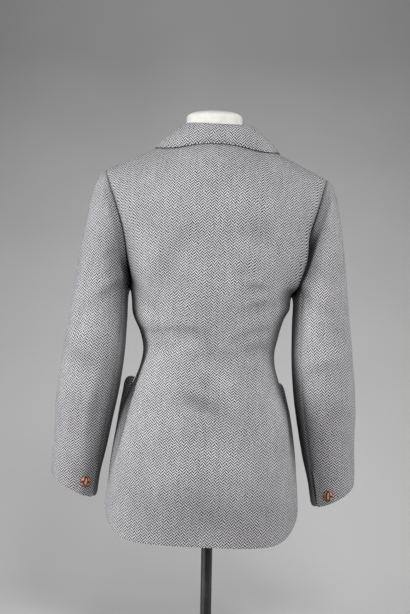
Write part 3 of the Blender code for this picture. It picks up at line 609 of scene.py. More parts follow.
@dataclass(frozen=True)
class Body:
    """The jacket's body surface: level rounded rings up to the armpit, then rows to a straight shoulder."""

    roundness: float = 2.3
    hem_height: float = 0.215
    hem_rise: float = 0.047
    hem_power: int = 8
    hem_fade: int = 3
    armpit: float = 0.652
    tip_height: float = 0.867
    tip_angle: float = math.radians(66.0)
    neck_half: float = 0.066
    neck_point: float = 0.930
    nape_drop: float = 0.008
    nape_curve: float = 0.0196
    back_rounding: float = 0.100
    front_rounding: float = 0.090
    armhole_bottom: float = 0.040
    lap: float = 0.020
    front_corner: float = 0.034
    roll_power: float = 0.85
    lap_start: float = 0.045
    lap_run: float = 0.020
    seam_valley: float = 0.0024
    valley_top: float = 0.80
    crease_fade: float = 0.4
    crease_foot: float = 0.05
    trough_bank: float = 0.012
    overhang_foot: float = 0.10
    overhang_top: float = 0.26
    overhang_fade: float = 0.34
    bow_power: float = 1.5
    front_steps: int = 14
    plan_steps: int = 6
    rings: SizeTable = SizeTable(("height", "half_width", "back", "front"), (
        (0.200, 0.1760, 0.1280, 0.1180),
        (0.280, 0.1735, 0.1270, 0.1170),
        (0.335, 0.1680, 0.1245, 0.1150),
        (0.390, 0.1605, 0.1200, 0.1125),
        (0.440, 0.1500, 0.1120, 0.1080),
        (0.483, 0.1350, 0.1000, 0.1010),
        (0.515, 0.1235, 0.0895, 0.0955),
        (0.5425, 0.1190, 0.0835, 0.0935),
        (0.5785, 0.1240, 0.0860, 0.0985),
        (0.607, 0.1310, 0.0910, 0.1060),
        (0.655, 0.1450, 0.0995, 0.1190),
        (0.700, 0.1590, 0.1040, 0.1240),
        (0.757, 0.1780, 0.1070, 0.1190),
        (0.800, 0.1930, 0.1075, 0.1080),
        (0.840, 0.2060, 0.1045, 0.0960),
        (0.870, 0.2150, 0.1000, 0.0880),
        (0.935, 0.2200, 0.0880, 0.0760),
    ))
    armhole_edge: SizeTable = SizeTable(("height", "back", "front"), (
        (0.652, 72.5, 67.0),
        (0.700, 72.0, 64.0),
        (0.757, 67.5, 59.0),
        (0.800, 66.5, 58.5),
        (0.840, 66.3, 61.0),
        (0.867, 66.0, 66.0),
    ))

    @property
    def exponent(self) -> float:
        """Power of the sine and cosine in a ring's superellipse."""
        return 2.0 / self.roundness

    @property
    def tip_x(self) -> float:
        """Half width of the shoulders at their tips."""
        width = self.rings.at("half_width", self.tip_height)
        return float(width * math.sin(self.tip_angle) ** self.exponent)

    @property
    def slope(self) -> float:
        """Fall of the shoulder line for each metre outwards."""
        return (self.neck_point - self.tip_height) / (self.tip_x - self.neck_half)

    @property
    def ridge_normal(self) -> Array:
        """Normal along the shoulder seam."""
        return np.array((self.slope, 0.0, 1.0)) / math.hypot(self.slope, 1.0)

    def level(self, rise: Array) -> Array:
        """Height of the armhole at a rise from the armpit, 0, to the shoulder tip, 1."""
        return self.armpit + (self.tip_height - self.armpit) * rise

    def armhole_share(self, height: Array) -> Array:
        """Share of the armhole's height, 0 at the armpit and 1 at the shoulder tip."""
        return (height - self.armpit) / (self.tip_height - self.armpit)

    def row_top(self, share: Array) -> tuple[Array, Array]:
        """Top edge over a share of the row, and how far the unseen ridge lies over it."""
        along = np.sin(np.abs(share) * self.tip_angle) / math.sin(self.tip_angle)
        return self.shoulder_top(self.tip_x * along ** self.exponent)

    def shoulder_top(self, x: Array) -> tuple[Array, Array]:
        """Top edge of the body cloth at x: a straight shoulder, dipping in a parabola at the nape.

        Args:
            x: distance from the centre line.

        Returns:
            The edge's height, and how far the unseen ridge lies over it.
        """
        inside = np.clip(1.0 - (x / self.neck_half) ** 2, 0.0, 1.0)
        shoulder = self.neck_point - self.slope * np.maximum(x - self.neck_half, 0.0)
        return shoulder - self.nape_drop * inside, (self.nape_drop + self.nape_curve) * inside

    def ring(self, angle: Array, height: Array) -> Array:
        """Point below the armpit: a superellipse at each height, with its own depth behind and in front.

        Args:
            angle: angle from the centre back.
            height: height of the ring.

        Returns:
            Points of the outer face.
        """
        x = self.rings.at("half_width", height) * power(np.sin(angle), self.exponent)
        depth = np.where(np.cos(angle) > 0.0, self.rings.at("back", height), self.rings.at("front", height))
        y = depth * power(np.cos(angle), self.exponent)
        return np.stack(np.broadcast_arrays(x, y, height), axis=-1)

    def hem_row(self, angle: Array, row: Array) -> Array:
        """Height of a lower row: the hem climbs at the sides with a high power of the sine."""
        level = self.hem_height + (self.armpit - self.hem_height) * row
        return level + self.hem_rise * np.sin(angle) ** self.hem_power * (1.0 - row) ** self.hem_fade

    def armhole_angle(self, sheet: Sheet, height: Array, bow: float = 0.0) -> Array:
        """Angle of the armhole edge from the centre line of a sheet, round at the bottom.

        Args:
            sheet: back or front.
            height: height up the armhole.
            bow: how far the seam bows outwards half way up.

        Returns:
            The angle, a right angle at the armpit.
        """
        share = np.clip(self.armhole_share(height), 0.0, 1.0)
        angle = np.radians(self.armhole_edge.at(sheet.name.lower(), height))
        angle = angle + bow * np.sin(math.pi * share) ** self.bow_power
        level = np.clip((height - self.armpit) / self.armhole_bottom, 0.0, 1.0)
        return angle + (math.pi / 2.0 - angle) * (1.0 - np.sqrt(1.0 - (1.0 - level) ** 2))

    def upper(self, sheet: Sheet, share: Array, rise: Array, bow: float = 0.0) -> Array:
        """Point above the armpit: the rings' section, rounded over a quarter circle towards the shoulder.

        Args:
            sheet: back or front.
            share: 0 at the centre line, 1 at the armhole edge.
            rise: 0 at the armpit, 1 at the shoulder.
            bow: the armhole seam's bow.

        Returns:
            Points of the outer face.
        """
        level = self.level(np.clip(rise, 0.0, 1.0))
        angle = share * self.armhole_angle(sheet, level, bow)
        top, over = self.row_top(share)
        height = self.armpit + (top - self.armpit) * rise
        x = self.rings.at("half_width", level) * power(np.sin(angle), self.exponent)
        rounding = self.back_rounding if sheet is Sheet.BACK else self.front_rounding
        depth = self.rings.at(sheet.name.lower(), height) * np.cos(angle) ** self.exponent
        below = np.clip((over + (top - self.armpit) * (1.0 - rise)) / rounding, 0.0, 1.0)
        y = sheet.value * depth * np.sqrt(1.0 - (1.0 - below) ** 2)
        return np.stack(np.broadcast_arrays(x, y, height), axis=-1)

    def front_at(self, x: Array, height: Array) -> Array:
        """Point of the upper front at a given x and height, by stepping towards its share and rise.

        Args:
            x: distance from the centre line.
            height: height above the floor.

        Returns:
            Points of the outer face.
        """
        rise = np.clip((height - self.armpit) / (self.neck_point - self.armpit), 0.0, 1.0)
        share = np.zeros_like(rise)
        for _ in range(self.front_steps):
            level = self.level(rise)
            section = np.clip(x / self.rings.at("half_width", level), -1.0, 1.0)
            share = np.arcsin(power(section, self.roundness / 2.0)) / self.armhole_angle(Sheet.FRONT, level)
            share = np.clip(share, -1.0, 1.0)
            top, _ = self.row_top(share)
            rise = np.clip((height - self.armpit) / (top - self.armpit), 0.0, 1.0)
        return self.upper(Sheet.FRONT, share, rise)

    def shoulder_at(self, x: Array, y: Array) -> Array:
        """Point over a place in plan near the neck: the ridge's height less the quarter-circle rounding.

        Args:
            x: distance from the centre line.
            y: distance behind the shoulder line.

        Returns:
            Points of the outer face.
        """
        ridge, over = self.shoulder_top(np.abs(x))
        ridge = ridge + over
        height = ridge
        width = self.rings.at("half_width", self.tip_height)
        section = (1.0 - np.abs(x / width) ** self.roundness) ** (1.0 / self.roundness)
        rounding = np.where(y > 0.0, self.back_rounding, self.front_rounding)
        for _ in range(self.plan_steps):
            depth = np.where(y > 0.0, self.rings.at("back", height), self.rings.at("front", height)) * section
            part = np.clip(np.abs(y) / depth, 0.0, NEARLY_ONE)
            height = ridge - rounding * (1.0 - np.sqrt(1.0 - part ** 2))
        return np.stack(np.broadcast_arrays(x, y, height), axis=-1)

    def side_normals(self, height: Array, step: float = 0.002) -> Array:
        """Normals along the side seam, from the slope of the half width.

        Args:
            height: heights up the seam.
            step: size of the small step that gives the slope.

        Returns:
            One normal for each height.
        """
        rate = self.rings.at("half_width", height + step) - self.rings.at("half_width", height - step)
        ones = np.ones_like(height)
        return unit(np.stack((ones, 0.0 * ones, -rate / (2.0 * step)), axis=-1))

    def roll_x(self, rise: Array) -> Array:
        """Where the lapel's roll line crosses a row, from the centre front."""
        return -self.lap + (self.neck_half + self.lap) * rise ** self.roll_power

    def roll_share(self, rise: Array) -> Array:
        """The roll line as a share of the front row: the ring's section solved for its angle.

        Args:
            rise: 0 at the armpit, 1 at the shoulder.

        Returns:
            Shares of the way to the armhole edge.
        """
        level = self.level(rise)
        section = self.roll_x(rise) / self.rings.at("half_width", level)
        return np.arcsin(power(section, self.roundness / 2.0)) / self.armhole_angle(Sheet.FRONT, level)

    def lap_lift(self, x: Array) -> Array:
        """How far the upper front lies over the lower one."""
        return (CLOTH.wall + CLOTH.lap_gap) * ease((self.lap_start - x) / self.lap_run)

    def drawn_in(self, hang: Hang, height: Array) -> Array:
        """How deep the back armhole seam lies: a shallow valley, much deeper in its lower part.

        Args:
            hang: the side's hang, with the crease's greatest depth and how far up it reaches.
            height: height up the seam.

        Returns:
            Depth towards the front, nothing at the armpit and at the shoulder tip.
        """
        share = self.armhole_share(height)
        valley = self.seam_valley * (1.0 - ease((share - self.valley_top) / (1.0 - self.valley_top)))
        fade = 1.0 - ease((share / hang.crease_top - self.crease_fade) / (1.0 - self.crease_fade))
        return ease(share / self.crease_foot) * (valley + hang.crease * fade)

    def plunge(self, hang: Hang, height: Array, away: Array, width: float) -> Array:
        """How far the back's cloth sinks towards the armhole seam: a bell of the distance from it."""
        return self.drawn_in(hang, height) * np.exp(-(away / width) ** 2)

    def trough(self, hang: Hang, height: Array, away: Array) -> Array:
        """How far the sleeve's cloth sinks beside the armhole seam: a flat floor, then a steep bank."""
        return self.drawn_in(hang, height) * (1.0 - ease((away - hang.crease_floor) / self.trough_bank))

    def overhang(self, depth: float, height: Array, away: Array, width: float) -> Array:
        """How far the back's cloth hangs out over the seam: greatest at one width from it.

        Args:
            depth: the greatest overhang.
            height: height up the seam.
            away: distance from the seam.
            width: where the overhang is greatest.

        Returns:
            Distance outwards, nothing at the seam, at the armpit and in the upper part.
        """
        run = away / width
        share = self.armhole_share(height)
        fade = 1.0 - ease((share - self.overhang_top) / self.overhang_fade)
        return depth * ease(share / self.overhang_foot) * fade * run * np.exp(1.0 - run)

    def relief(self, grid: Array, hang: Hang) -> Array:
        """Relief of the side's folds and of the centre's, by angle from the centre back and by height.

        Args:
            grid: points of a body panel, as for the left side.
            hang: the side's hang, with its folds.

        Returns:
            Relief along the normal, in metres.
        """
        angle = np.arctan2(np.abs(grid[..., 0]), grid[..., 1])
        height = grid[..., 2]
        return hang.body_folds.relief(angle, height) + CENTRE_FOLDS.relief(angle * hang.sign, height)

    def pressed(self, grid: Array, normals: Array, hang: Hang) -> Array:
        """Body grid with its soft folds."""
        return grid + normals * self.relief(grid, hang)[..., None]


BODY = Body()


def body_weave(grid: Array, sign: float = 1.0) -> Array:
    """Weave map of a body panel: cloth measured across from its first column and up from the hem."""
    up = grid[:1, :, 2] + run_lengths(grid, 0)
    return np.stack((run_lengths(grid, 1) * sign, up), axis=-1)


def softened(grid: Array, row: int, reach: float, passes: int = 60, pull: float = 0.25,
             hold: int = 5) -> Array:
    """Grid smoothed up and down near one row, so that no crease shows where two formulas meet.

    The second difference along the columns is spread out a few times, with a weight that falls off in
    a bell from the row and to nothing at the outer column.

    Args:
        grid: points of a body panel.
        row: the row where the formulas meet.
        reach: how many rows the bell takes in.
        passes: how many times the bend is spread.
        pull: share of the bend that each pass takes out.
        hold: power of the share across, which keeps the outer column in place.

    Returns:
        The smoothed points.
    """
    rows, columns = grid.shape[:2]
    weight = np.exp(-((np.arange(rows) - row) / reach) ** 2)[:, None, None]
    weight = weight * (1.0 - np.linspace(0.0, 1.0, columns) ** hold)[None, :, None]
    for _ in range(passes):
        bend = np.zeros_like(grid)
        bend[1:-1] = grid[2:] + grid[:-2] - 2.0 * grid[1:-1]
        grid = grid + pull * weight * bend
    return grid


@dataclass
class Panel(SidePiece):
    """What the four body panels share: rows up to the armpit, and rows from there to the shoulder."""

    low_rows: int = 80
    high_rows: int = 52
    low_edge: float = 0.012
    high_edge: float = 0.05
    soft_reach: float = 7.0

    def rows(self) -> tuple[Array, Array]:
        """Shares of the way from hem to armpit, and of the way from there to the shoulder."""
        low = spaced(self.low_rows, self.low_edge)
        return low[:, None], ease(spaced(self.high_rows, self.high_edge))[1:, None]


@dataclass
class BackPanel(Panel):
    """One half of the back, from the centre seam to the side and the armhole."""

    columns: int = 46
    column_edge: float = 0.03
    plunge_width: float = 0.0032
    overhang_width: float = 0.007
    overhang_back: float = 0.4
    rims: Rims = Rims(first_row=0.0011, last_row=0.0008, first_column=0.00025, last_column=0.0010)

    def surface(self) -> tuple[Array, Array]:
        """Outer face, pressed into folds and drawn in at the armhole, made alike along shared seams.

        Returns:
            Points of the outer face, and outward normals.
        """
        share = spaced(self.columns, self.column_edge)[None, :]
        low, high = self.rows()
        angle = share * math.pi / 2.0 + 0.0 * low
        grid = np.concatenate((
            BODY.ring(angle, BODY.hem_row(angle, low)),
            BODY.upper(Sheet.BACK, share + 0.0 * high, high + 0.0 * share, self.hang.bow)))
        grid = softened(grid, len(low), self.soft_reach)
        normals = outward_normals(grid)
        normals[:, 0, 0] = 0.0
        normals[:len(low), -1] = BODY.side_normals(grid[:len(low), -1, 2])
        on_ridge = grid[-1, :, 0] > BODY.neck_half
        normals[-1, on_ridge] = BODY.ridge_normal
        normals = unit(normals)
        grid = BODY.pressed(grid, normals, self.hang)
        across = run_lengths(grid, 1)
        seam, away = grid[:, -1:, 2], across[:, -1:] - across
        out = BODY.overhang(self.hang.overhang, seam, away, self.overhang_width)
        grid[..., 1] -= BODY.plunge(self.hang, seam, away, self.plunge_width)
        grid[..., 0] += out
        grid[..., 1] += out * self.overhang_back
        grid[:, 0, 0] = CLOTH.seam_gap / 2.0
        grid[:len(low), -1, 1] += CLOTH.seam_gap / 2.0
        grid[-1, on_ridge, 1] += CLOTH.seam_gap / 2.0
        return grid, normals

    def shell(self) -> Shell:
        """The panel as a wall with rolled seams and hem.

        Returns:
            The wall in the part's frame.
        """
        grid, normals = self.surface()
        inner = grid - normals * CLOTH.wall
        inner[:, 0, 0] = CLOTH.seam_gap / 2.0
        outer = self.rims.roll(grid, normals, CLOTH.roll)
        weave = body_weave(grid, self.hang.sign)
        # The folds' relief also gives painted shade in the troughs and a painted highlight on the ridges.
        return self.sided("wool_back_", outer, inner, weave, wear_and_fold_shade(BODY.relief(grid, self.hang)))


@dataclass
class FrontPanel(Panel):
    """One front, from its edge past the centre to the side and the armhole."""

    columns: int = 50
    column_edge: float = 0.028
    rims: Rims = Rims(first_row=0.0011, last_row=0.0008, first_column=0.0010, last_column=0.0010)

    def surface(self) -> tuple[Array, Array]:
        """Outer face: its edge laps past the centre, then follows the lapel's roll line.

        Returns:
            Points of the outer face, and outward normals.
        """
        share = spaced(self.columns, self.column_edge)[None, :]
        low, high = self.rows()
        up = np.clip(BODY.front_corner - (BODY.armpit - BODY.hem_height) * low, 0.0, BODY.front_corner)
        edge_x = -BODY.lap + BODY.front_corner - np.sqrt(BODY.front_corner ** 2 - up ** 2)
        width = BODY.rings.at("half_width", BODY.hem_height + (BODY.armpit - BODY.hem_height) * low)
        edge = np.arcsin(power(edge_x / width, BODY.roundness / 2.0))
        angle = edge + (math.pi / 2.0 - edge) * share
        start = BODY.roll_share(high)
        grid = np.concatenate((
            BODY.ring(math.pi - angle, BODY.hem_row(angle, low)),
            BODY.upper(Sheet.FRONT, start + (1.0 - start) * share, high + 0.0 * share)))
        grid = softened(grid, len(low), self.soft_reach)
        normals = outward_normals(grid)
        normals[:len(low), -1] = BODY.side_normals(grid[:len(low), -1, 2])
        normals[-1] = BODY.ridge_normal
        grid = BODY.pressed(grid, normals, self.hang)
        if self.hang.over:
            grid = grid + normals * BODY.lap_lift(grid[..., 0])[..., None]
        grid[:len(low), -1, 1] -= CLOTH.seam_gap / 2.0
        grid[-1, :, 1] -= CLOTH.seam_gap / 2.0
        return grid, normals

    def shell(self) -> Shell:
        """The panel as a wall with rolled seams, edge and hem.

        Returns:
            The wall in the part's frame.
        """
        grid, normals = self.surface()
        inner = grid - normals * CLOTH.wall
        outer = self.rims.roll(grid, normals, CLOTH.roll)
        weave = body_weave(grid, -self.hang.sign)
        # The folds' relief also gives painted shade in the troughs and a painted highlight on the ridges.
        return self.sided("wool_front_", outer, inner, weave, wear_and_fold_shade(BODY.relief(grid, self.hang)))


@dataclass
class Sleeve(SidePiece):
    """A two-piece set-in sleeve, lofted from the armhole to the cuff, with a vent at its back seam."""

    top_height: float = 0.600
    cuff_height: float = 0.297
    seam_angle: float = math.radians(143.0)
    head_out: float = 0.027
    head_fall: float = 0.24
    head_turn: float = 0.30
    side_out: float = 0.013
    under_fall: float = 0.22
    under_gap: float = 0.0005
    under_draw: float = 0.021
    arm_hold: float = 0.022
    outer_hold: float = 0.100
    arm_step: float = 0.02
    fold_fade: float = 0.4
    seam_fade: float = 0.016
    narrow_power: float = 1.5
    vent_height: float = 0.352
    vent_open: float = 0.0036
    vent_lift: float = 0.0036
    vent_run: float = 0.022
    slant_low: float = math.radians(150.0)
    narrow_start: float = 0.440
    cap_rows: int = 46
    arm_rows: int = 60
    cap_edge: float = 0.05
    arm_edge: float = 0.016
    column_edge: float = 1.4
    top_columns: int = 76
    under_columns: int = 26
    line_points: int = 90
    rims: Rims = Rims(first_row=0.0009, last_row=0.0011, first_column=0.0009, last_column=0.0009)
    rings: SizeTable = SizeTable(("height", "x", "y", "width", "depth", "slant"), (
        (0.600, 0.2005, 0.004, 0.0525, 0.062, 0.000),
        (0.535, 0.2060, 0.002, 0.0555, 0.060, 0.002),
        (0.472, 0.2135, -0.006, 0.0550, 0.056, 0.006),
        (0.418, 0.2200, -0.017, 0.0510, 0.051, 0.011),
        (0.377, 0.2248, -0.027, 0.0478, 0.047, 0.015),
        (0.335, 0.2312, -0.038, 0.0446, 0.043, 0.019),
        (0.297, 0.2345, -0.047, 0.0430, 0.041, 0.022),
    ))

    def armhole(self, angle: Array) -> Array:
        """Point of the armhole edge: the shoulder tip at 0, the back at a quarter turn, then the front.

        Args:
            angle: angle from the shoulder tip.

        Returns:
            Points of the seam.
        """
        turn = np.mod(angle, 2.0 * math.pi)
        rise = ease(np.abs(1.0 - turn / math.pi))
        ones = np.ones_like(rise)
        behind = (turn <= math.pi)[..., None]
        back = BODY.upper(Sheet.BACK, ones, rise, self.hang.bow)
        return np.where(behind, back, BODY.upper(Sheet.FRONT, ones, rise))

    def arm_ring(self, angle: Array, height: Array) -> Array:
        """Point of the arm: an ellipse whose lower edge slants down to the inner back.

        Args:
            angle: angle from the outer side, towards the back.
            height: height of the ring.

        Returns:
            Points of the outer face.
        """
        share = np.clip((self.narrow_start - height) / (self.narrow_start - self.cuff_height), 0.0, 1.0)
        narrow = self.hang.narrow * share ** self.narrow_power
        x = self.rings.at("x", height) + narrow + (self.rings.at("width", height) - narrow) * np.cos(angle)
        y = self.rings.at("y", height) + self.rings.at("depth", height) * np.sin(angle)
        z = height - self.rings.at("slant", height) * np.cos(angle - self.slant_low)
        return np.stack(np.broadcast_arrays(x, y, z), axis=-1)

    def head(self, angle: Array, share: Array) -> Array:
        """Point of the sleeve head: a Bezier bow that leaves the armhole outwards and ends down the arm.

        Args:
            angle: angle from the outer side.
            share: 0 at the armhole, 1 at the upper arm.

        Returns:
            Points of the outer face.
        """
        end = self.arm_ring(angle, self.top_height + 0.0 * angle)
        under = 0.5 - 0.5 * np.cos(angle)
        fall = self.head_fall + self.under_fall * under
        out = unit(np.stack((1.0 + 0.0 * angle, self.head_turn * np.sin(angle), -fall), axis=-1))
        down = unit(self.arm_ring(angle, self.top_height - self.arm_step + 0.0 * angle) - end)
        outer = 0.5 + 0.5 * np.cos(angle)[..., None]
        start = self.armhole(angle) + out * (CLOTH.seam_gap + self.under_gap * under)[..., None]
        bow = self.head_out - self.under_draw * under + self.side_out * np.abs(np.sin(angle))
        first = start + out * bow[..., None]
        second = end - down * (self.arm_hold + self.outer_hold * outer)
        u = share[..., None]
        return ((1.0 - u) ** 3 * start + 3.0 * (1.0 - u) ** 2 * u * first
                + 3.0 * (1.0 - u) * u * u * second + u ** 3 * end)

    def point(self, angle: Array, row: Array) -> Array:
        """Point of the sleeve: the head for rows 0 to 1, the arm for rows 1 to 2.

        Args:
            angle: angle from the outer side.
            row: 0 at the armhole, 2 at the cuff.

        Returns:
            Points of the outer face.
        """
        height = self.top_height + (self.cuff_height - self.top_height) * np.clip(row - 1.0, 0.0, 1.0)
        head = self.head(angle, np.clip(row, 0.0, 1.0))
        return np.where((row <= 1.0)[..., None], head, self.arm_ring(angle, height))

    def relief(self, angle: Array, row: Array) -> Array:
        """Relief of the sleeve's folds, which fade out towards the armhole.

        Args:
            angle: angle from the outer side.
            row: 0 at the armhole, 2 at the cuff.

        Returns:
            Relief along the normal, in metres.
        """
        height = self.point(angle, row)[..., 2]
        folds = self.hang.sleeve_folds.relief(np.mod(angle, 2.0 * math.pi), height)
        return ease(row / self.fold_fade) * folds

    def surface(self, angle: Array, row: Array, step: float = 0.004) -> tuple[Array, Array]:
        """Folded points and their normals, from small steps round and down the sleeve.

        Args:
            angle: angle from the outer side.
            row: 0 at the armhole, 2 at the cuff.
            step: size of the small steps.

        Returns:
            Points of the outer face, and outward normals.
        """
        around = self.point(angle + step, row) - self.point(angle - step, row)
        below = self.point(angle, np.minimum(row + step, 2.0))
        above = self.point(angle, np.maximum(row - step, 0.0))
        normals = unit(np.cross(below - above, around))
        points = self.point(angle, row)
        folded = points + normals * self.relief(angle, row)[..., None]
        seam = self.armhole(angle)
        behind = np.mod(angle, 2.0 * math.pi) < math.pi
        away = np.linalg.norm(points - seam, axis=-1)
        sunk = BODY.trough(self.hang, seam[..., 2], away)
        folded[..., 1] -= np.where(behind, sunk, 0.0)
        return folded, normals

    def grain(self, angle: Array, points: Array) -> Array:
        """Weave map of the sleeve: cut with its grain down the arm, so that the armhole cuts across it.

        The first value is the way round the arm at one level, the second the way up its outer line,
        which runs further than the height where the head rounds over.

        Args:
            angle: angle of each point's column.
            points: points of the outer face.

        Returns:
            Map coordinates in metres of cloth.
        """
        height = np.minimum(points[..., 2], self.top_height)
        width, depth = self.rings.at("width", height), self.rings.at("depth", height)
        turn = np.arctan2((points[..., 1] - self.rings.at("y", height)) / depth,
                          (points[..., 0] - self.rings.at("x", height)) / width)
        turn = turn + 2.0 * math.pi * np.round((angle - turn) / (2.0 * math.pi))
        line = self.point(np.zeros(self.line_points), np.linspace(0.0, 2.0, self.line_points))[::-1]
        climb = np.concatenate(((0.0,), np.cumsum(np.linalg.norm(np.diff(line, axis=0), axis=-1))))
        extra = np.interp(points[..., 2], line[:, 2], climb - (line[:, 2] - line[0, 2]))
        up = points[..., 2] + extra * np.clip(np.cos(turn), 0.0, 1.0) ** 2
        return np.stack((turn * (width + depth) / 2.0, up), axis=-1)

    def panel(self, name: str, first: float, last: float, columns: int, vent_first: bool) -> Shell:
        """One piece of the sleeve between two seam angles.

        Args:
            name: first part of the piece's name.
            first: angle of its first seam.
            last: angle of its last seam.
            columns: even steps between them.
            vent_first: whether the vent is at the first seam.

        Returns:
            The piece as a wall with rolled seams and cuff.
        """
        cap = spaced(self.cap_rows, self.cap_edge)
        arm = 1.0 + spaced(self.arm_rows, self.arm_edge)[1:]
        rows = np.concatenate((cap, arm))
        turns = first + (last - first) * spaced(columns, self.column_edge / columns)
        angle, row = np.meshgrid(turns, rows)
        grid, normals = self.surface(angle, row)
        inner = grid - normals * CLOTH.wall
        across = run_lengths(grid, 1)
        for at_first in (True, False):
            away = unit(np.gradient(grid, axis=1)) * (1.0 if at_first else -1.0)
            near = across if at_first else across[:, -1:] - across
            edge_height = grid[:, :1, 2] if at_first else grid[:, -1:, 2]
            gap = CLOTH.seam_gap / 2.0 + 0.0 * edge_height
            lift = 0.0 * edge_height
            if at_first == vent_first:
                opening = ease((self.vent_height - edge_height) / self.vent_run)
                gap = gap + self.vent_open * opening
                lift = (-1.0 if vent_first else 1.0) * self.vent_lift * opening
            fade = np.clip(1.0 - near / self.seam_fade, 0.0, 1.0) ** 2
            shift = away * (gap * fade)[..., None] + normals * (lift * fade)[..., None]
            grid, inner = grid + shift, inner + shift
        outer = self.rims.roll(grid, normals, CLOTH.roll)
        weave = self.grain(angle, self.point(angle, row)) * np.array((self.hang.sign, 1.0))
        # The folds' relief also gives painted shade in the troughs and a painted highlight on the ridges.
        return self.sided(name, outer, inner, weave, wear_and_fold_shade(self.relief(angle, row)))

    def shells(self) -> tuple[Shell, Shell]:
        """The two pieces of the sleeve, cut apart at its front and back seams.

        Returns:
            The top sleeve and the under sleeve.
        """
        first = self.hang.twist - self.seam_angle
        last = self.hang.twist + self.seam_angle
        top = self.panel("wool_sleeve_top_", first, last, self.top_columns, False)
        under = self.panel("wool_sleeve_under_", last, first + 2.0 * math.pi, self.under_columns, True)
        return top, under

    def button_seat(self) -> tuple[Array, Array]:
        """Place of the cuff button on the folded sleeve.

        Returns:
            Where the button sits, and the way it faces.
        """
        hang = self.hang
        row = 1.0 + (hang.button_height - self.top_height) / (self.cuff_height - self.top_height)
        seat, facing = self.surface(np.array((hang.button_angle,)), np.array((row,)))
        mirrored = np.array((hang.sign, 1.0, 1.0))
        return seat[0] * mirrored, facing[0] * mirrored


